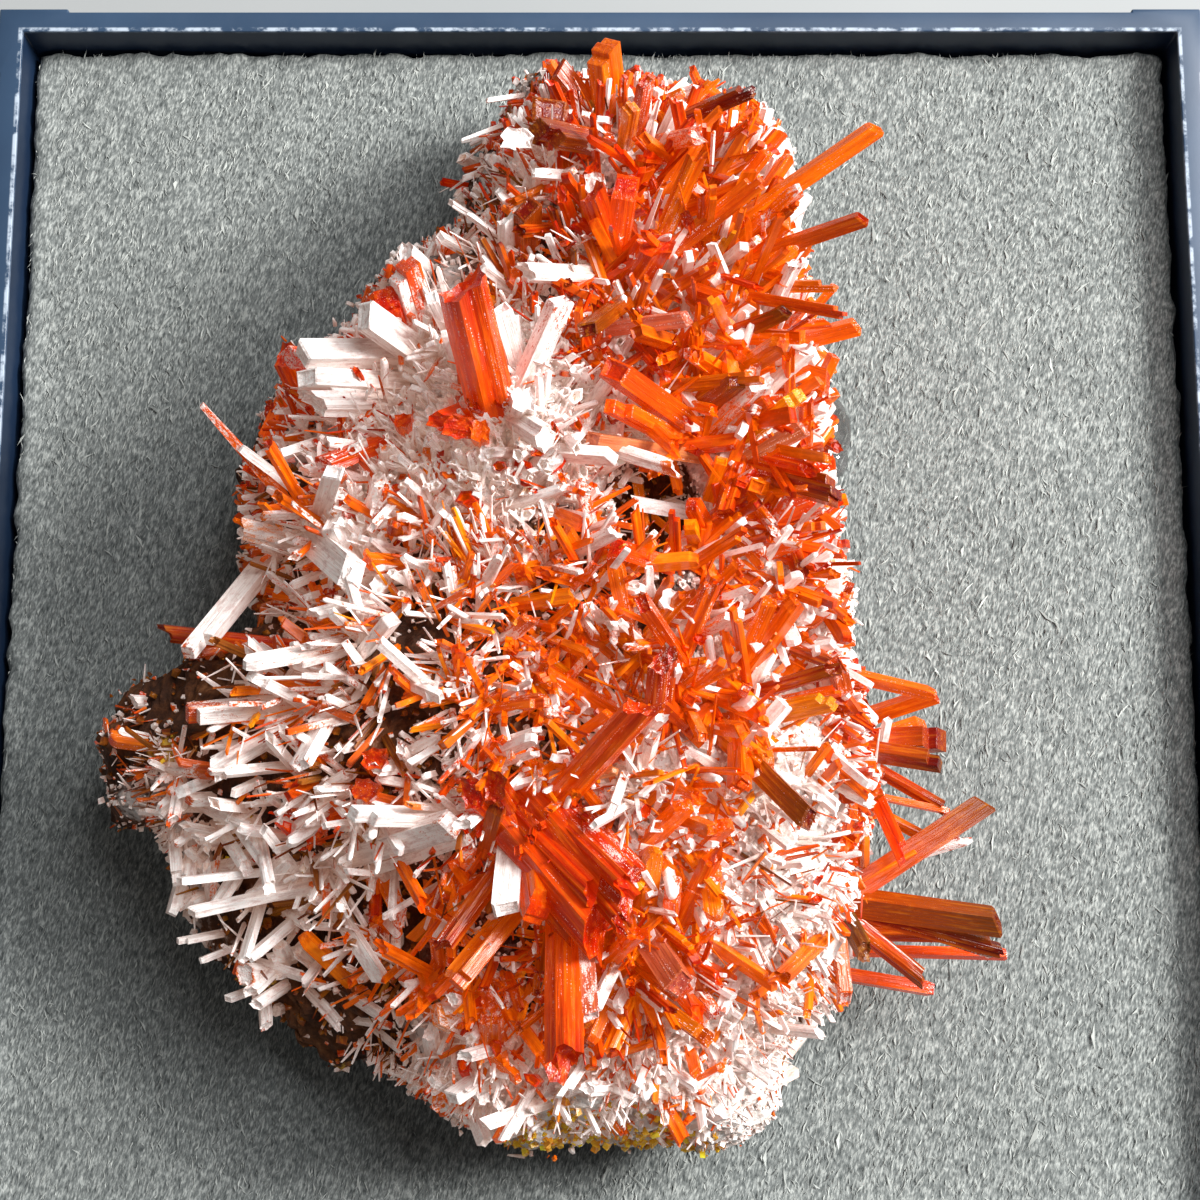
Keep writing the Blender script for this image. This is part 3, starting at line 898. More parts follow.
def coated_form():
    """A five-sided rod with a rounded end, as a coat leaves it."""
    deselect()
    bpy.ops.mesh.primitive_cylinder_add(vertices=5, radius=0.5, depth=6, location=(0, 0, 0))
    for vert in bpy.context.object.data.vertices:
        vert.co.z += 3
    pick_top(edit_mesh())
    bpy.ops.mesh.extrude_region_move(TRANSFORM_OT_translate={"value": (0, 0, 0.28)})
    bpy.ops.transform.resize(value=(0.6, 0.6, 1))
    return taken_form(6.28, smooth=True)


def chisel_form():
    """A prism that ends in a slanting edge like a chisel's."""
    new_bar(7)
    pick_top(edit_mesh())
    bpy.ops.mesh.extrude_region_move(TRANSFORM_OT_translate={"value": (0.12, 0, 0.55)})
    bpy.ops.transform.resize(value=(0.3, 0.85, 1))
    return taken_form(7.55)


def grain_form(seed):
    """An angular grain of crust: a block broken out of true."""
    chance = random.Random(seed)
    grain = new_bar(1)
    for vert in grain.data.vertices:
        vert.co += Vector([chance.uniform(-0.26, 0.26) for _ in range(3)])
    edit_mesh()
    bpy.ops.mesh.select_all(action="SELECT")
    bpy.ops.mesh.quads_convert_to_tris()
    return taken_form(1)


def make_forms():
    return {
        "ridged": striated_form(1, 0.5),
        "broken": striated_form(2, 0.9),
        "jagged": striated_form(6, 0.35),
        "plain": plain_form(),
        "smooth": smooth_form(),
        "laths": lath_form([
            (-0.5, -0.16, -0.42, 0.44, 0.97), (-0.2, 0.14, -0.5, 0.5, 1.0), (0.1, 0.5, -0.4, 0.46, 0.93),
        ]),
        "pair": lath_form([(-0.5, 0.05, -0.5, 0.45, 1.0), (0.0, 0.5, -0.42, 0.5, 0.88)]),
        "hollow": hollow_form(4, 4),
        "socket": hollow_form(7, 5),
        "crater": hollow_form(9, 6),
        "needle": needle_form(),
        "coated": coated_form(),
        "chisel": chisel_form(),
        "grain": grain_form(3),
        "crumb": grain_form(8),
    }


# Crystals

Crystal = namedtuple("Crystal", "root tip width depth roll slant sort form")


def grow(name, crystals, forms, finish, seed):
    """One mesh of many crystals, each a copy of its form set from its root to its tip."""
    chance = np.random.default_rng(seed)
    all_points, all_tints, all_grains, all_edges, all_heights = [], [], [], [], []
    loops, totals, smooths = [], [], []
    start = 0
    for key, form in forms.items():
        group = [crystal for crystal in crystals if crystal.form == key]
        if not group:
            continue
        roots = np.array([crystal.root for crystal in group])
        axes = np.array([crystal.tip for crystal in group]) - roots
        lengths = np.linalg.norm(axes, axis=1)
        turns = np.array([
            (Vector(axis).to_track_quat("Z", "Y").to_matrix() @ Matrix.Rotation(crystal.roll, 3, "Z"))
            for axis, crystal in zip(axes, group)
        ])
        widths = np.array([crystal.width for crystal in group])
        sizes = np.stack([widths, widths * [crystal.depth for crystal in group], lengths], axis=1)
        shapes = form.points[None] * sizes[:, None, :]
        slants = np.array([crystal.slant for crystal in group]) * widths
        near_tip = np.clip(form.points[:, 2] * 3 - 2, 0, 1)
        shapes[:, :, 2] -= slants[:, None] * near_tip[None] * (form.points[:, 0] + 0.5)[None]
        placed = np.einsum("nij,nkj->nki", turns, shapes) + roots[:, None, :]
        grains = shapes * 1000 + chance.uniform(-40, 40, (len(group), 1, 3))
        sorts = [SORTS[crystal.sort] for crystal in group]
        low = np.array([sort.root[:3] for sort in sorts])
        high = np.array([sort.tip[:3] for sort in sorts])
        share = np.clip(form.points[:, 2], 0, 1)[None, :, None] ** 1.6
        tints = low[:, None, :] * (1 - share) + high[:, None, :] * share
        tints = tints * np.exp(chance.normal(0, COLOUR_JITTER * 1.6, (len(group), 1, 1)))
        tints[:, :, 1] *= np.exp(chance.normal(0, COLOUR_JITTER * 1.5, (len(group), 1)))
        ended = np.clip(form.points[:, 2] * 8 - 7, 0, 1)[None, :]
        dark = (chance.random(len(group)) < 0.4)[:, None]
        tints *= 1 - (ended * dark)[:, :, None] * np.array([0.35, 0.62, 0.6])
        coat = np.array([sort.coat for sort in sorts]) + chance.normal(0, 0.07, len(group))
        lean = chance.normal(0, 0.14, len(group))[:, None] * (form.points[:, 2] - 0.5)[None, :]
        bare = np.where(chance.random(len(group)) < 0.35, 0.4, 0.0)[:, None] * ended
        coats = (coat[:, None] + lean - bare)[:, :, None]
        all_points.append(placed.reshape(-1, 3))
        tints = np.concatenate([tints, coats], axis=2)
        all_tints.append(np.clip(tints, 0, 1).reshape(-1, 4))
        all_grains.append(grains.reshape(-1, 3))
        all_edges.append(np.tile(form.edge, len(group)))
        all_heights.append(np.tile(np.clip(form.points[:, 2], 0, 1), len(group)))
        base = np.concatenate([np.array(face) for face in form.faces])
        step = np.arange(len(group)) * len(form.points) + start
        loops.append((base[None, :] + step[:, None]).ravel())
        totals.append(np.tile([len(face) for face in form.faces], len(group)))
        smooths.append(np.full(len(form.faces) * len(group), form.smooth))
        start += len(group) * len(form.points)
    parts = (all_points, loops, totals, smooths, all_tints, all_grains, all_edges)
    piece = mesh_piece(name, finish, *[np.concatenate(part) for part in parts])
    add_number(piece, "height", np.concatenate(all_heights))
    return piece


def mesh_piece(name, finish, points, loops, totals, smooths, tints, grains, edges):
    """A mesh object from arrays, with the colours and the grain that its finish reads."""
    mesh = bpy.data.meshes.new(name)
    mesh.vertices.add(len(points))
    mesh.vertices.foreach_set("co", points.astype(np.float32).ravel())
    mesh.loops.add(len(loops))
    mesh.loops.foreach_set("vertex_index", loops.astype(np.int32))
    mesh.polygons.add(len(totals))
    starts = np.concatenate([[0], np.cumsum(totals)[:-1]])
    mesh.polygons.foreach_set("loop_start", starts.astype(np.int32))
    mesh.polygons.foreach_set("loop_total", totals.astype(np.int32))
    mesh.polygons.foreach_set("use_smooth", smooths)
    mesh.update(calc_edges=True)
    mesh.validate()
    tint = mesh.attributes.new("tint", "FLOAT_COLOR", "POINT")
    tint.data.foreach_set("color", tints.astype(np.float32).ravel())
    grain = mesh.attributes.new("grain", "FLOAT_VECTOR", "POINT")
    grain.data.foreach_set("vector", grains.astype(np.float32).ravel())
    mesh.materials.append(finish)
    obj = bpy.data.objects.new(name, mesh)
    bpy.context.scene.collection.objects.link(obj)
    add_number(obj, "edge", edges)
    return obj


# The form that the second letter of a crystal's code names
FORM_NAMES = {
    "f": "prism", "r": "ridged", "b": "broken", "l": "laths", "h": "hollow", "n": "needle", "s": "smooth",
}


def form_of(code, width, chance):
    """The form that a crystal's code names, with some change among the plain prisms."""
    form = FORM_NAMES[code[1]]
    if form == "prism":
        if width < 0.35 * MM:
            return chance.choice(["plain", "needle"])
        if code[0] in "wg":
            return chance.choice(["smooth", "smooth", "chisel", "pair", "broken"])
        return chance.choice(["ridged", "broken", "smooth", "chisel", "pair"])
    if form == "laths" and width < 0.5 * MM:
        return "pair"
    if form == "hollow" and width > 0.75 * MM:
        return chance.choice(["broken", "jagged"])
    return form


def set_crystal(row, surface, chance, look):
    """A crystal set out by its row, rooted a little way into the rock."""
    root_u, root_v, tip_u, tip_v, rise, width, code = row
    seen, normal = on_rock((root_u, root_v), surface)
    tip = at_level((tip_u, tip_v), seen.z + rise * MM)
    root = seen - normal * ROOT_DEPTH - (tip - seen).normalized() * ROOT_START
    roll = chance.uniform(0, math.pi / 2)
    slant = chance.uniform(0.15, 0.7)
    form = form_of(code, width * MM, look)
    return Crystal(root, tip, width * MM, PRISM_DEPTH, roll, slant, code[0], form)


def clear_of_rock(crystal, heart, radius, surface):
    """Whether the crystal stays over the rock's surface wherever it has left its spray's heart."""
    for step in range(1, 13):
        point = crystal.root.lerp(crystal.tip, step / 12)
        if (point - heart).length < radius + crystal.width:
            continue
        near, normal, _, _ = surface.find_nearest(point)
        if (point - near).dot(normal) < crystal.width * 0.7 + 0.3 * MM:
            return False
    return True


def set_in_spray(row, surface, chance, look, heart, radius):
    """A crystal of a spray: it starts inside the spray's heart and is lifted clear of the rock."""
    crystal = set_crystal(row, surface, chance, look)
    offset = crystal.root - heart
    root = heart + offset * min(1, radius * ROOT_REACH / offset.length)
    for step in range(MOST_LIFTS):
        tip = at_level(row[2:4], crystal.tip.z + LIFT * min(step, 1))
        crystal = crystal._replace(root=root, tip=tip)
        if clear_of_rock(crystal, heart, radius, surface):
            break
    return crystal


def raised(crystal, row, surface):
    """The crystal with its tip lifted until its outer half stands over the rock."""
    for _ in range(MOST_LIFTS):
        buried = False
        for share in (0.5, 0.75, 1.0):
            point = crystal.root.lerp(crystal.tip, share)
            near, normal, _, _ = surface.find_nearest(point)
            if (point - near).dot(normal) < crystal.width * 0.5:
                buried = True
        if not buried:
            break
        crystal = crystal._replace(tip=at_level(row[2:4], crystal.tip.z + LIFT))
    return crystal


def field_crystals(surface):
    """The small crystals of the solids' fields, in the sorts of the patches that they stand on."""
    chance = random.Random(FIELD_SEED)
    look = random.Random(FIELD_SEED + 1)
    reaches = seen_reaches()
    crystals = []
    for (left, top, right, bottom), count, shortest, longest, width in FIELDS:
        for _ in range(count * FIELD_TRIES):
            place = (chance.uniform(left, right), chance.uniform(top, bottom))
            seen, normal = on_rock(place, surface)
            lean = Vector((chance.uniform(-1, 1), chance.uniform(-1, 1), chance.uniform(-0.2, 0.6)))
            direction = (normal * 0.7 + lean).normalized()
            if direction.dot(normal) < 0.35:
                direction = (direction + normal * 0.6).normalized()
            tip = seen + direction * chance.uniform(shortest, longest) * MM
            tip = seen + (tip - seen) * share_inside(Crystal(seen, tip, *[0] * 6), reaches, 0)
            thick = width * chance.uniform(0.8, 1.25) * MM
            roll = chance.uniform(0, math.pi / 2)
            slant = chance.uniform(0.1, 0.7)
            sort = look.choice(sorts_at(place))
            forms = ["ridged", "broken", "chisel"]
            if sort in "hw":
                forms = ["ridged", "broken", "jagged", "hollow"]
            form = look.choice(forms)
            root = seen - direction * 0.8 * MM
            crystals.append(Crystal(root, tip, thick * 0.8, PRISM_DEPTH, roll, slant, sort, form))
    return crystals


def hollow_crystals(surface):
    """Short crystals, most with white rims and hollow orange ends, in their own fields."""
    chance = random.Random(HOLLOW_SEED)
    crystals = []
    for (left, top, right, bottom), count in HOLLOWS:
        for _ in range(count):
            seen, normal = on_rock((chance.uniform(left, right), chance.uniform(top, bottom)), surface)
            lean = Vector([chance.gauss(0, 0.35) for _ in range(3)])
            direction = (normal * 0.6 + Vector((0, -0.1, 0.6)) + lean).normalized()
            width = (0.3 + 0.6 * chance.random() ** 1.6) * MM
            tip = seen + direction * chance.uniform(0.8, 2.2) * MM
            roll, depth = chance.uniform(0, math.pi), chance.uniform(0.5, 1.0)
            sort = chance.choice("hhhhwr")
            form = chance.choice(["hollow", "socket", "socket", "crater"])
            root = seen - direction * 0.6 * MM
            crystals.append(Crystal(root, tip, width, depth, roll, 0.2, sort, form))
    return crystals


def sorts_at(place):
    """The sorts of small crystal on the patch nearest to a place, with white ones for the brown."""
    nearest = min(PATCHES, key=lambda patch: (patch.u - place[0]) ** 2 + (patch.v - place[1]) ** 2)
    return nearest.sorts.replace("b", "w")


def triangles_of(rock, points):
    """The rock's triangles: their middles, outward directions and areas."""
    corners = points[corners_of(rock)]
    cross = np.cross(corners[:, 1] - corners[:, 0], corners[:, 2] - corners[:, 0])
    size = np.linalg.norm(cross, axis=1)
    return corners.mean(1), cross / np.maximum(size, 1e-15)[:, None], size / 2


# How narrow and how wide in millimetres the small crystals of each sort are
WIDTHS = {
    "w": (0.13, 0.40), "g": (0.20, 0.45), "h": (0.30, 0.55), "p": (0.12, 0.34), "b": (0.10, 0.26),
    "c": (0.15, 0.32), "o": (0.10, 0.42), "r": (0.14, 0.46), "a": (0.08, 0.30), "d": (0.15, 0.45),
    "m": (0.20, 0.50),
}


def seen_reaches():
    """How far the specimen's outline lies from its centre in the sight, at every degree."""
    outline = [Vector(place) for place in ROCK_OUTLINE]
    centre = Vector(ROCK_CENTRE)
    return np.array([outline_reach(math.radians(turn), centre, outline) for turn in range(361)])


def share_inside(crystal, reaches, slack):
    """The share of a crystal's length that ends it no more than some slack beyond the outline."""
    places = seen_at(np.array([crystal.root, crystal.tip])) - np.array(ROCK_CENTRE)
    away = np.linalg.norm(places, axis=1)
    turns = np.degrees(np.arctan2(places[:, 1], places[:, 0])) % 360
    limit = np.interp(turns[1], range(361), reaches) + slack
    if away[1] <= limit or away[1] - away[0] < 1:
        return 1
    return min(1, max(0.2, (limit - away[0]) / (away[1] - away[0])))


def in_pits(places):
    """How bare of crystals each place is for being in a pit, 0 to 1."""
    bare = np.zeros(len(places))
    for place, reach, _ in PITS:
        away = np.linalg.norm(places - np.array(place), axis=1) * SIGHT_STEP / (reach * 1.1)
        bare = np.maximum(bare, np.exp(-away ** 4))
    return bare


def small_crystals(middles, outward, areas, seed):
    """Clusters of small crystals over the rock, in the sorts of its patches, and few in its pits."""
    chance = np.random.default_rng(seed)
    patches = patch_of(seen_at(middles), chance)
    density = np.array([PATCHES[i].density for i in patches])
    crust = np.array([PATCHES[i].crust for i in patches])
    slope = np.clip(0.5 + outward[:, 2], 0.0, 1)
    level = np.clip((middles[:, 2] - ROCK_FOOT - 1 * MM) / (3 * MM), 0, 1)
    wave = np.array([noise.noise(Vector(middle) * 620) for middle in middles])
    growth = np.clip(0.42 + wave * 3.0 + crust * 0.5, 0.02, 1)
    weight = areas * density * slope * level * growth * (1 - 0.94 * in_pits(seen_at(middles)))
    reaches = seen_reaches()
    chosen = chance.choice(len(middles), SMALL_CLUSTERS, p=weight / weight.sum())
    centre = at_level(ROCK_CENTRE, OUTLINE_LEVEL)
    crystals = []
    for number, index in enumerate(chosen):
        chance = np.random.default_rng((seed, number))
        pick_form = random.Random(seed + number)
        patch = PATCHES[patches[index]]
        normal = Vector(outward[index])
        middle = Vector(middles[index])
        away = Vector((middle.x - centre.x, middle.y - centre.y, 0)).normalized()
        across = normal.orthogonal().normalized()
        along = normal.cross(across)
        turn = chance.uniform(0, 2 * math.pi)
        lean = (across * math.cos(turn) + along * math.sin(turn)) * chance.uniform(0.2, 1.2)
        main = normal * 0.8 + away * chance.uniform(0, 0.9) + lean
        steep = min(1, max(0.3, 0.35 + normal.z * 0.9))
        stout = min(1.9, max(0.75, patch.length / 2.2))
        stray = MOST_STRAY if patch.length > 3 else 5
        for _ in range(chance.integers(3, 6 if patch.length > 3 else 9)):
            sort = patch.sorts[chance.integers(len(patch.sorts))]
            offset = (across * chance.normal() + along * chance.normal()) * 0.5 * MM
            root = middle + offset - normal * 0.35 * MM
            direction = (main + Vector(chance.normal(0, 0.5, 3))).normalized()
            if direction.dot(normal) < 0.15:
                direction = (direction + normal * 0.5).normalized()
            reach = min(patch.length, WHITE_REACH) if sort in "wg" else patch.length
            length = (reach * chance.uniform(0.35, 1.35) * steep + 0.35) * MM
            low, high = WIDTHS[sort]
            width = (low + (high - low) * chance.random() ** 1.8) * stout * MM
            if sort == "h":
                length = chance.uniform(0.8, 1.6) * MM
                direction = (direction + normal * 1.2).normalized()
            tip = root + direction * length
            tip.z = max(tip.z, PAD_TOP + 0.6 * MM)
            form = small_form(sort, width, pick_form)
            if sort == "b":
                sort = pick_form.choice("bbbpw")
            depth, roll, slant = chance.uniform(0.5, 1.0), chance.uniform(0, 3), chance.uniform(0, 0.6)
            crystal = Crystal(root, tip, width, depth, roll, slant, sort, form)
            share = share_inside(crystal, reaches, chance.uniform(-10, stray))
            crystals.append(crystal._replace(tip=root.lerp(tip, share)))
    return crystals


def small_form(sort, width, pick_form):
    """A form for a small crystal of a sort."""
    if sort == "h":
        return pick_form.choice(["socket", "crater", "coated"])
    if width < 0.2 * MM:
        return "needle"
    if sort in "wgp":
        return pick_form.choice(["coated", "plain", "plain", "needle", "chisel", "smooth"])
    if width > 0.34 * MM:
        return pick_form.choice(["ridged", "smooth", "pair"])
    return pick_form.choice(["needle", "plain", "chisel", "pair"])


def crust_grains(middles, outward, areas, seed):
    """Angular grains all over the rock, thickest where the crust is white and yellow where it is ochre."""
    chance = np.random.default_rng(seed)
    crust = crust_at(seen_at(middles)) * np.clip((middles[:, 2] - ROCK_FOOT) / (4 * MM), 0, 1)
    weight = areas * np.clip(crust - 0.05, 0.2, 1) * np.clip(0.5 + outward[:, 2], 0, 1)
    chosen = chance.choice(len(middles), GRAINS, p=weight / weight.sum())
    ochre = ochre_at(seen_at(middles))
    crystals = []
    for index in chosen:
        normal = Vector(outward[index])
        size = (0.09 + 0.28 * chance.random() ** 2) * MM
        root = Vector(middles[index]) - normal * size * 0.3 + Vector(chance.normal(0, 0.1, 3)) * MM
        direction = (normal + Vector(chance.normal(0, 0.5, 3))).normalized()
        sort = "ggggggp"[chance.integers(7)] if crust[index] > 0.3 else "bbbpg"[chance.integers(5)]
        if ochre[index] > chance.uniform(0.3, 0.9):
            sort = "y"
        form = "grain" if chance.random() < 0.5 else "crumb"
        tip = root + direction * size * chance.uniform(0.5, 1.3)
        depth, roll = chance.uniform(0.6, 1.1), chance.uniform(0, 6)
        crystals.append(Crystal(root, tip, size, depth, roll, 0, sort, form))
    return crystals


# Finishes

class Value:
    """Something that varies over a surface. Sums written on it add Math nodes."""

    def __init__(self, finish, socket):
        self.finish = finish
        self.socket = socket

    def sum(self, operation, first, second):
        return self.finish.add("ShaderNodeMath", {"operation": operation}, {0: first, 1: second})

    def __add__(self, other):
        return self.sum("ADD", self, other)

    def __radd__(self, other):
        return self.sum("ADD", other, self)

    def __sub__(self, other):
        return self.sum("SUBTRACT", self, other)

    def __rsub__(self, other):
        return self.sum("SUBTRACT", other, self)

    def __mul__(self, other):
        return self.sum("MULTIPLY", self, other)

    def __rmul__(self, other):
        return self.sum("MULTIPLY", other, self)

    def larger(self, other):
        return self.sum("MAXIMUM", self, other)

    def size(self):
        return self.sum("ABSOLUTE", self, 0)

    def between(self, low, high):
        """Rises smoothly from 0 at low to 1 at high."""
        return self.finish.add(
            "ShaderNodeMapRange",
            {"interpolation_type": "SMOOTHSTEP"},
            {"Value": self, "From Min": low, "From Max": high},
        )


class Finish:
    """A material built from nodes."""

    def __init__(self, name):
        self.material = bpy.data.materials.new(name)
        self.material.use_nodes = True
        self.material.cycles.emission_sampling = "NONE"
        self.tree = self.material.node_tree
        self.tree.nodes.clear()

    def add(self, kind, settings=None, inputs=None, output=0):
        """A node with its settings and the values or links of its sockets. Gives one of its outputs."""
        node = self.tree.nodes.new(kind)
        for key, value in (settings or {}).items():
            if key == "stops":
                for stop in range(2, len(value)):
                    node.color_ramp.elements.new(0.5)
                for element, (position, tone) in zip(node.color_ramp.elements, value):
                    element.position = position
                    element.color = tone
            else:
                setattr(node, key, value)
        for key, value in (inputs or {}).items():
            if isinstance(value, Value):
                self.tree.links.new(value.socket, node.inputs[key])
            else:
                node.inputs[key].default_value = value
        return Value(self, node.outputs[output]) if node.outputs else None

    def mixed(self, first, second, factor, blend="MIX"):
        """Two colours mixed by a factor."""
        settings = {"data_type": "RGBA", "blend_type": blend}
        return self.add("ShaderNodeMix", settings, {0: factor, 6: first, 7: second}, 2)

    def stretched(self, vector, scale):
        return self.add("ShaderNodeMapping", {}, {"Vector": vector, "Scale": scale})

    def clouds(self, vector, scale, detail=3.0, roughness=0.55):
        inputs = {"Vector": vector, "Scale": scale, "Detail": detail, "Roughness": roughness}
        return self.add("ShaderNodeTexNoise", {"noise_dimensions": "3D"}, inputs)

    def cells(self, vector, scale):
        return self.add("ShaderNodeTexVoronoi", {"feature": "F1"}, {"Vector": vector, "Scale": scale})

    def place(self):
        """The point on the piece, in metres."""
        return self.add("ShaderNodeTexCoord", output=3)

    def number(self, name, output=2):
        """What the piece's points carry under a name: a colour is output 0, a place 1, a number 2."""
        return self.add("ShaderNodeAttribute", {"attribute_name": name}, output=output)

    def dent(self, height, distance, strength):
        inputs = {"Height": height, "Distance": distance, "Strength": strength}
        return self.add("ShaderNodeBump", {}, inputs)

    def surface(self, inputs):
        return self.add("ShaderNodeBsdfPrincipled", {}, inputs)

    def finished(self, shader):
        self.add("ShaderNodeOutputMaterial", {}, {"Surface": shader})
        return self.material


def crocoite_finish(name, clear, fine):
    """Glassy orange crystal, streaked along its length, under a chalky coat that is worn off in places."""
    finish = Finish(name)
    tint = finish.number("tint", 0)
    coat = finish.number("tint", 3)
    grain = finish.number("grain", 1)
    edge = finish.number("edge", 2)
    foot = 1 - finish.number("height", 2).between(0.1, 0.8)
    streak = finish.clouds(finish.stretched(grain, (4.5, 4.5, 0.3)), 1.0, 2, 0.6)
    patches = finish.clouds(finish.stretched(grain, (3.2, 3.2, 1.3)), 1.0, 3, 0.72)
    specks = finish.clouds(grain, 14.0 if fine else 9.0, 2 if fine else 1, 0.6)
    depth = streak.between(0.36, 0.54) * 0.42 + patches.between(0.38, 0.6) * 0.25
    deep = finish.mixed(tint, (0.62, 0.3, 0.2, 1), 0.62 - depth + foot * 0.45, "MULTIPLY")
    glow = edge * 0.35 + streak.between(0.55, 0.64) * 0.5 + patches.between(0.52, 0.7) * 0.3
    bright = finish.mixed(deep, (0.26, 0.11, 0.004, 1), glow, "ADD")
    cover = patches * 0.7 + specks * 0.3 + coat * 1.05 - edge * 0.04
    dent = {}
    if fine:
        lines = finish.clouds(finish.stretched(grain, (13, 13, 0.4)), 1.0, 1, 0.5)
        dent = {"Normal": finish.dent(lines * 0.6 + streak, 0.07 * MM, 0.75)}
        cover = cover + lines.between(0.6, 0.7) * specks.between(0.5, 0.62) * 0.3
    crystal = finish.surface({
        "Base Color": finish.mixed(bright, (0, 0, 0, 1), 0.2),
        "Roughness": 0.1 + specks * 0.25,
        "IOR": 1.55,
        "Specular IOR Level": 0.3,
        "Transmission Weight": clear,
        "Emission Color": bright,
        "Emission Strength": 0.2 if fine else 0.13,
        **dent,
    })
    chalk_tone = finish.mixed(shade(247, 245, 244), shade(218, 199, 196), patches.between(0.46, 0.7))
    chalk_tone = finish.mixed(chalk_tone, tint, specks.between(0.56, 0.7) * 0.25)
    lined = streak.between(0.38, 0.5) * -0.4 + 0.4
    chalk_tone = finish.mixed(chalk_tone, (0.62, 0.5, 0.45, 1), lined, "MULTIPLY")
    chalk_tone = finish.mixed(chalk_tone, (0.6, 0.38, 0.27, 1), foot * 0.55, "MULTIPLY")
    chalk = finish.surface({
        "Base Color": chalk_tone,
        "Roughness": 0.45,
        "Emission Color": finish.mixed(chalk_tone, (1, 0.7, 0.54, 1), 1, "MULTIPLY"),
        "Emission Strength": 0.12,
        **dent,
    })
    chalky = cover.between(0.93, 1.07)
    return finish.finished(finish.add("ShaderNodeMixShader", {}, {0: chalky, 1: crystal, 2: chalk}))


def matrix_finish():
    """Brown gossan with ochre, dark pores and a white granular crust."""
    finish = Finish("gossan_and_crust")
    place = finish.place()
    crust = finish.number("crust")
    ochre = finish.number("ochre")
    broad = finish.clouds(place, 350, 5, 0.6)
    fine = finish.clouds(place, 2200, 4, 0.6)
    pores = finish.cells(place, 900)
    brown = finish.add("ShaderNodeValToRGB", {"stops": [
        (0.3, shade(22, 11, 6)), (0.46, shade(70, 39, 21)),
        (0.6, shade(116, 71, 40)), (0.78, shade(168, 122, 80)),
    ]}, {0: broad * 0.6 + fine * 0.4})
    yellow = finish.mixed(shade(196, 142, 34), shade(226, 188, 78), fine.between(0.4, 0.65))
    rusty = finish.mixed(brown, yellow, (ochre * 0.55 + broad * 0.7 + fine * 0.9).between(1.08, 1.26))
    white = finish.mixed(shade(240, 236, 232), shade(202, 178, 166), fine.between(0.42, 0.7))
    cover = (crust + broad * 0.7 + fine * 0.5).between(0.92, 1.12)
    tone = finish.mixed(rusty, white, cover)
    skin = finish.surface({
        "Base Color": tone,
        "Roughness": 0.82 - ochre * 0.1,
        "Specular IOR Level": 0.35,
        "Normal": finish.dent(fine + pores * 0.8 + broad * 0.6, 0.18 * MM, 0.8),
    })
    return finish.finished(skin)


def felt_finish():
    """Grey felted pile: fine hairs that lie slightly slanting, over a faint mottle."""
    finish = Finish("grey_felt")
    place = finish.place()
    slanted = finish.add("ShaderNodeMapping", {}, {"Vector": place, "Rotation": (0, 0, HAIR_SLANT)})
    hairs = finish.clouds(finish.stretched(slanted, (9500, 2800, 4000)), 1.0, 2, 0.6)
    tufts = finish.clouds(finish.stretched(slanted, (2600, 1500, 2000)), 1.0, 3, 0.7)
    tone = finish.add("ShaderNodeValToRGB", {"stops": [
        (0.34, shade(74, 79, 79)), (0.5, shade(122, 127, 126)), (0.66, shade(182, 187, 184)),
    ]}, {0: hairs * 0.66 + tufts * 0.34})
    skin = finish.surface({
        "Base Color": tone,
        "Roughness": 0.95,
        "Specular IOR Level": 0.2,
        "Normal": finish.dent(hairs, 0.03 * MM, 0.6),
    })
    return finish.finished(skin)


def fibre_finish():
    """Pale loose hairs of the felt."""
    finish = Finish("pale_fibre")
    tint = finish.number("tint", 0)
    shadow = finish.clouds(finish.place(), 1200).between(0.4, 0.7) * 0.5
    tone = finish.mixed(tint, (0.5, 0.5, 0.5, 1), shadow, "MULTIPLY")
    skin = finish.surface({"Base Color": tone, "Roughness": 0.8, "Specular IOR Level": 0.3})
    return finish.finished(skin)


def plastic_finish():
    """Navy moulded plastic, scuffed pale along its rim."""
    finish = Finish("navy_plastic")
    place = finish.place()
    across = finish.add("ShaderNodeSeparateXYZ", {}, {0: place}, 0)
    along = finish.add("ShaderNodeSeparateXYZ", {}, {0: place}, 1)
    up = finish.add("ShaderNodeSeparateXYZ", {}, {0: place}, 2)
    out = across.size().larger(along.size())
    rim = (up * 1000).between(BOX_HEIGHT / MM - 0.3, BOX_HEIGHT / MM - 0.1)
    inner_edge = (BOX_SIDE / 2 - BOX_WALL) / MM + 0.12
    inner = 1 - (out * 1000 - inner_edge).size().between(0.05, 0.16)
    scratches = finish.clouds(finish.stretched(place, (500, 500, 2500)), 1.0, 5, 0.7)
    rubs = finish.clouds(place, 1400, 3, 0.6)
    haze = finish.clouds(place, 90, 3, 0.6)
    worn = inner * rim * (scratches * 0.6 + rubs * 0.4).between(0.44, 0.56)
    body = finish.mixed(shade(18, 33, 55), shade(24, 41, 65), haze.between(0.35, 0.7))
    top = finish.mixed(body, shade(60, 84, 112), rim * (0.35 + haze * 0.5))
    tone = finish.mixed(top, shade(176, 190, 206), worn)
    skin = finish.surface({
        "Base Color": tone,
        "Roughness": 0.28 + rubs * 0.14 + worn * 0.2,
        "Normal": finish.dent(scratches + rubs * 0.5, 0.02 * MM, 0.35),
    })
    return finish.finished(skin)


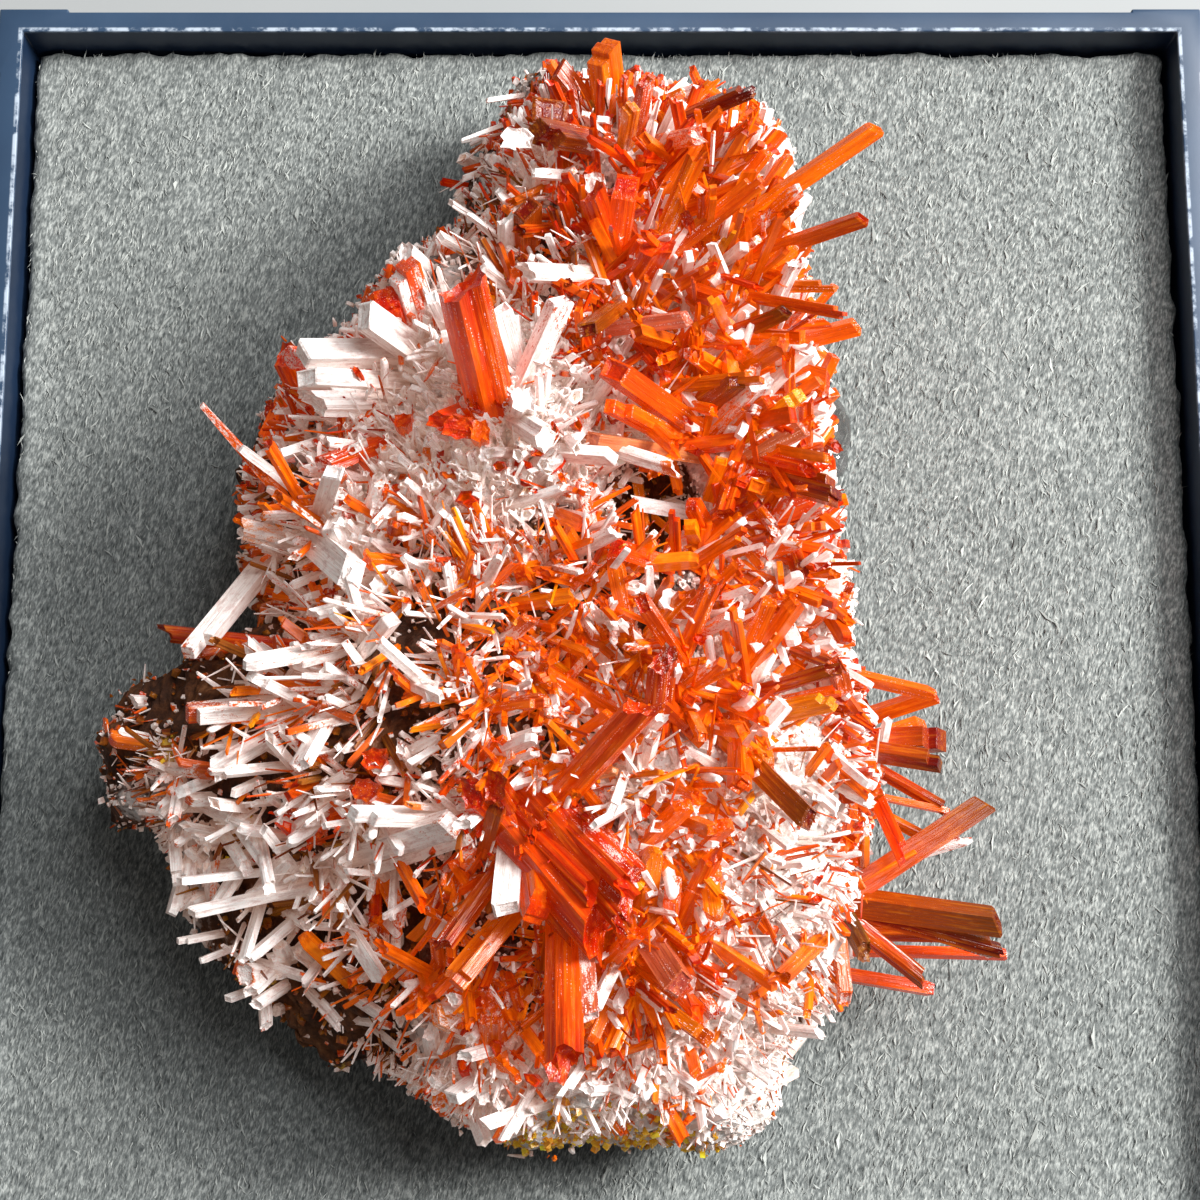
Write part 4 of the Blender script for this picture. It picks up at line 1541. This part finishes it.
def glue_finish():
    """Clear glue with a few hazy streaks."""
    finish = Finish("clear_glue")
    haze = finish.clouds(finish.place(), 420, 4, 0.6)
    skin = finish.surface({
        "Base Color": finish.mixed(shade(240, 240, 240), shade(190, 192, 190), haze.between(0.4, 0.7)),
        "Roughness": 0.03 + haze * 0.08,
        "IOR": 1.47,
        "Transmission Weight": 0.92,
        "Normal": finish.dent(haze, 0.05 * MM, 0.3),
    })
    return finish.finished(skin)


# The box, its pad and the glue

def apply_modifiers(obj):
    """Makes the object's modifiers part of its mesh."""
    deselect()
    obj.select_set(True)
    bpy.context.view_layer.objects.active = obj
    for modifier in list(obj.modifiers):
        bpy.ops.object.modifier_apply(modifier=modifier.name)


def rounded_block(name, width, height, base, corner, steps):
    """A square block standing on a level, with its upright edges rounded."""
    deselect()
    bpy.ops.mesh.primitive_cube_add(size=1, location=(0, 0, 0))
    block = bpy.context.object
    block.name = name
    for vert in block.data.vertices:
        vert.co = Vector((vert.co.x * width, vert.co.y * width, base + (vert.co.z + 0.5) * height))
    pick_uprights(edit_mesh(), height)
    bpy.ops.mesh.bevel(offset=corner, segments=steps, profile=0.5, affect="EDGES")
    deselect()
    return block


def make_tray(finish):
    """The box, hollowed, with its outer walls cut in a little at the top between the corners."""
    tray = rounded_block("tray", BOX_SIDE, BOX_HEIGHT, 0, BOX_CORNER, 6)
    inside = rounded_block("inside", BOX_SIDE - 2 * BOX_WALL, BOX_HEIGHT, BOX_FLOOR, BOX_INNER_CORNER, 8)
    cutters = [inside]
    for turn in range(4):
        deselect()
        bpy.ops.mesh.primitive_cube_add(size=1, location=(0, 0, 0))
        groove = bpy.context.object
        for vert in groove.data.vertices:
            across = vert.co.x * RECESS_LENGTH
            along = BOX_SIDE / 2 + (vert.co.y - 0.3) * RECESS_THICKNESS
            vert.co = Vector((across, along, RECESS_LEVEL + (vert.co.z + 0.5) * 5 * MM))
            vert.co.rotate(Matrix.Rotation(turn * math.pi / 2, 3, "Z"))
        cutters.append(groove)
    for cutter in cutters:
        cut = tray.modifiers.new("Cut", "BOOLEAN")
        cut.operation = "DIFFERENCE"
        cut.object = cutter
    edge = tray.modifiers.new("Eased edges", "BEVEL")
    edge.width = 0.22 * MM
    edge.segments = 3
    edge.limit_method = "ANGLE"
    edge.angle_limit = math.radians(50)
    apply_modifiers(tray)
    for cutter in cutters:
        bpy.data.objects.remove(cutter, do_unlink=True)
    bpy.ops.object.shade_smooth_by_angle(angle=math.radians(35))
    tray.data.materials.append(finish)
    return tray


def make_pad(finish):
    """The pad: a block with soft edges, its felt slightly uneven and ragged at the rim."""
    base = BOX_FLOOR + GAP
    pad = rounded_block("pad", PAD_SIDE, PAD_TOP - base, base, BOX_INNER_CORNER, 4)
    edge = pad.modifiers.new("Soft edges", "BEVEL")
    edge.width = 0.35 * MM
    edge.segments = 2
    edge.limit_method = "ANGLE"
    edge.angle_limit = math.radians(60)
    apply_modifiers(pad)
    remesh = pad.modifiers.new("Even faces", "REMESH")
    remesh.mode = "VOXEL"
    remesh.voxel_size = 0.42 * MM
    apply_modifiers(pad)
    points = np.empty(len(pad.data.vertices) * 3)
    pad.data.vertices.foreach_get("co", points)
    points = points.reshape(-1, 3)
    half = PAD_SIDE / 2
    out = np.maximum(np.abs(points[:, 0]), np.abs(points[:, 1]))
    rim = np.clip((out - half + 1.4 * MM) / (1.4 * MM), 0, 1)
    top = points[:, 2] > PAD_TOP - 1.2 * MM
    for number in np.nonzero(top)[0]:
        point = Vector(points[number]) * 1000
        wave = noise.fractal(point * 0.12, 0.6, 2.0, 3) * 0.10 + noise.noise(point * 1.4) * 0.05
        ragged = noise.noise(point * 0.9) * 0.3 + noise.noise(point * 2.6) * 0.16 + 0.3
        points[number, 2] += (wave - 0.12 + ragged * rim[number]) * MM
        pull = (noise.noise(point * 1.1 + Vector((9, 4, 2))) * 0.25 + 0.02) * rim[number] * MM
        points[number, :2] *= 1 - pull / out[number]
    set_points(pad, points)
    for face in pad.data.polygons:
        face.use_smooth = True
    pad.data.materials.append(finish)
    return pad


def make_fibres(finish, seed):
    """Loose hairs on the felt: thin closed spindles, most lying the same slanting way."""
    chance = np.random.default_rng(seed)
    half = PAD_SIDE / 2 - 0.1 * MM
    centre = chance.uniform(-half, half, (FIBRES, 2))
    angle = math.pi / 2 - HAIR_SLANT + chance.normal(0, 0.3, FIBRES) + (chance.random(FIBRES) < 0.1) * 0.7
    length = (0.14 + chance.gamma(2.0, 0.13, FIBRES)) * MM
    thick = chance.uniform(0.009, 0.02, FIBRES) * MM
    along = np.stack([np.cos(angle), np.sin(angle), chance.normal(0, 0.08, FIBRES)], axis=1)
    side = np.stack([-np.sin(angle), np.cos(angle), np.zeros(FIBRES)], axis=1)
    level = PAD_TOP - 0.1 * MM + chance.uniform(0, 0.1, FIBRES) * MM
    middle = np.concatenate([centre, level[:, None]], axis=1)
    bow = side * (chance.normal(0, 0.08, FIBRES) * length)[:, None]
    ends = along * length[:, None] / 2
    raised_middle = middle + np.array([0, 0, 1.0]) * thick[:, None]
    shift = chance.uniform(-0.6, 0.6, (FIBRES, 1))
    corners = [
        middle - ends + bow,
        middle + ends + bow,
        raised_middle + side * thick[:, None] * (1 + shift),
        raised_middle - side * thick[:, None] * (1 - shift) - np.array([0, 0, 1.6]) * thick[:, None],
    ]
    points = np.stack(corners, axis=1).reshape(-1, 3)
    base = np.array([0, 2, 1, 0, 1, 3, 0, 3, 2, 1, 2, 3])
    loops = (base[None] + (np.arange(FIBRES) * 4)[:, None]).ravel()
    totals = np.full(FIBRES * 4, 3)
    tone = chance.beta(1.6, 1.6, FIBRES)
    dark = np.array(shade(96, 101, 100))[:3]
    pale = np.array(shade(206, 211, 207))[:3]
    colours = dark * (1 - tone[:, None]) + pale * tone[:, None]
    tints = np.repeat(np.concatenate([colours, np.ones((FIBRES, 1))], axis=1), 4, axis=0)
    sharp = np.full(len(totals), False)
    edges = np.zeros(len(points))
    return mesh_piece("felt_fibres", finish, points, loops, totals, sharp, tints, points * 1000, edges)


def make_glue(finish):
    """A low clear bead on the pad with a smaller one run into its side."""
    deselect()
    centre = at_level(GLUE_PLACE, PAD_TOP)
    small_centre = centre + Vector((0.4, -1.6, 0)) * MM
    beads = [(centre, GLUE_HALF_WIDTHS), (small_centre, SMALL_BEAD_HALF_WIDTHS)]
    made = []
    for middle, halves in beads:
        deselect()
        bpy.ops.mesh.primitive_uv_sphere_add(segments=48, ring_count=28, radius=1, location=(0, 0, 0))
        bead = bpy.context.object
        for vert in bead.data.vertices:
            reach = Vector([side * half for side, half in zip(vert.co, halves)])
            vert.co = Vector(middle) + reach
        made.append(bead)
    glue = made[0]
    glue.name = "glue"
    join = glue.modifiers.new("Join", "BOOLEAN")
    join.operation = "UNION"
    join.object = made[1]
    apply_modifiers(glue)
    bpy.data.objects.remove(made[1], do_unlink=True)
    deselect()
    glue.select_set(True)
    bpy.context.view_layer.objects.active = glue
    edit_mesh()
    bpy.ops.mesh.select_all(action="SELECT")
    level = PAD_TOP - 0.05 * MM
    bpy.ops.mesh.bisect(plane_co=(0, 0, level), plane_no=(0, 0, 1), clear_inner=True, use_fill=True)
    deselect()
    for face in glue.data.polygons:
        face.use_smooth = True
    glue.data.materials.append(finish)
    return glue


# The studio

def area_light(name, place, target, size, power, tone):
    """A soft light at a place, turned to a target."""
    data = bpy.data.lights.new(name, "AREA")
    data.shape = "RECTANGLE"
    data.size, data.size_y = size
    data.energy = power
    data.color = tone
    light = bpy.data.objects.new(name, data)
    light.location = place
    light.rotation_euler = (Vector(target) - Vector(place)).to_track_quat("-Z", "Y").to_euler()
    bpy.context.scene.collection.objects.link(light)


def make_studio():
    """The pale floor, the lights and the camera."""
    deselect()
    bpy.ops.mesh.primitive_plane_add(size=3, location=(0, 0, -0.0002))
    floor = bpy.context.object
    floor.name = "floor"
    finish = Finish("pale_floor")
    mottle = finish.clouds(finish.place(), 14).between(0.3, 0.7)
    tone = finish.mixed(shade(156, 160, 162), shade(166, 169, 170), mottle)
    floor.data.materials.append(finish.finished(finish.surface({"Base Color": tone, "Roughness": 0.8})))
    area_light("key", (0.32, 0.10, 0.27), (0, 0, 0.02), (0.14, 0.14), 3.6, (1.0, 0.98, 0.95))
    area_light("overhead", (0.18, 0.16, 0.40), (0, 0, 0.02), (0.26, 0.22), 1.2, (0.98, 0.99, 1.0))
    world = bpy.data.worlds.new("studio")
    world.use_nodes = True
    world.node_tree.nodes["Background"].inputs["Color"].default_value = (1.0, 0.96, 0.93, 1)
    world.node_tree.nodes["Background"].inputs["Strength"].default_value = 0.13
    bpy.context.scene.world = world
    camera_data = bpy.data.cameras.new("camera")
    camera_data.sensor_width = 36
    camera_data.lens = 36 * SIGHT_FOCAL / (2 * SIGHT_CENTRE)
    camera_data.clip_start = 0.005
    camera = bpy.data.objects.new("camera", camera_data)
    camera.location = sight_line((SIGHT_CENTRE, SIGHT_CENTRE))[0]
    camera.rotation_euler = (SIGHT_TILT, 0, 0)
    bpy.context.scene.collection.objects.link(camera)
    bpy.context.scene.camera = camera
    bpy.context.scene.view_settings.view_transform = "Standard"
    bpy.context.scene.view_settings.look = "None"


def finish_piece(piece, slot, *nodes):
    """The piece rides with the object, names its slot and stands for the solids it covers."""
    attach(piece, "root")
    if nodes:
        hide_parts(*nodes)


def main():
    make_studio()
    finish_piece(make_tray(plastic_finish()), "navy_plastic", "box_tray")
    pad = make_pad(felt_finish())
    finish_piece(pad, "grey_felt", "felt_pad")
    finish_piece(make_fibres(fibre_finish(), FIBRE_SEED), "grey_felt")
    finish_piece(make_glue(glue_finish()), "clear_glue", "glue_bead")
    forms = make_forms()
    crystal = crocoite_finish("crocoite_crystal", 0.2, True)
    druse = crocoite_finish("crocoite_druse", 0.0, False)
    rock, points = make_matrix()
    dress_matrix(rock, points)
    rock.data.materials.append(matrix_finish())
    finish_piece(rock, "matrix", "matrix_rock")
    surface = BVHTree.FromPolygons(points.tolist(), corners_of(rock).tolist())
    chance = random.Random(SPRAY_SEED)
    look = random.Random(LOOK_SEED)
    large = []
    for name, (heart_place, radius, rows) in SPRAYS.items():
        point, normal = on_rock(heart_place, surface)
        heart = point - normal * radius * MM * HEART_DEPTH
        crystals = [set_in_spray(row, surface, chance, look, heart, radius * MM) for row in rows]
        finish_piece(grow(f"{name}_crystals", crystals, forms, crystal, len(large)), "crocoite", name)
        large += crystals
    chance = random.Random(ROCK_CRYSTAL_SEED)
    grown = [set_crystal(row, surface, chance, look) for row in ROCK_CRYSTALS]
    for rows in (UPPER_CRYSTALS, LEFT_CRYSTALS, CENTRE_CRYSTALS, LOWER_CRYSTALS, CRUST_NEEDLES):
        grown += [raised(set_crystal(row, surface, chance, look), row, surface) for row in rows]
    finish_piece(grow("rock_crystals", grown, forms, crystal, TINT_SEED), "crocoite")
    fields = field_crystals(surface) + hollow_crystals(surface)
    finish_piece(grow("field_crystals", fields, forms, druse, TINT_SEED + 1), "crocoite")
    middles, outward, areas = triangles_of(rock, points)
    small = small_crystals(middles, outward, areas, SMALL_SEED)
    for name, sorts in (("white_needles", "wghpc"), ("orange_needles", "oradbm")):
        crystals = [one for one in small if one.sort in sorts]
        finish_piece(grow(name, crystals, forms, druse, TINT_SEED + 2), "crocoite")
    grains = crust_grains(middles, outward, areas, GRAIN_SEED)
    finish_piece(grow("crust_grains", grains, forms, druse, TINT_SEED + 3), "matrix")
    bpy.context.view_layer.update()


main()
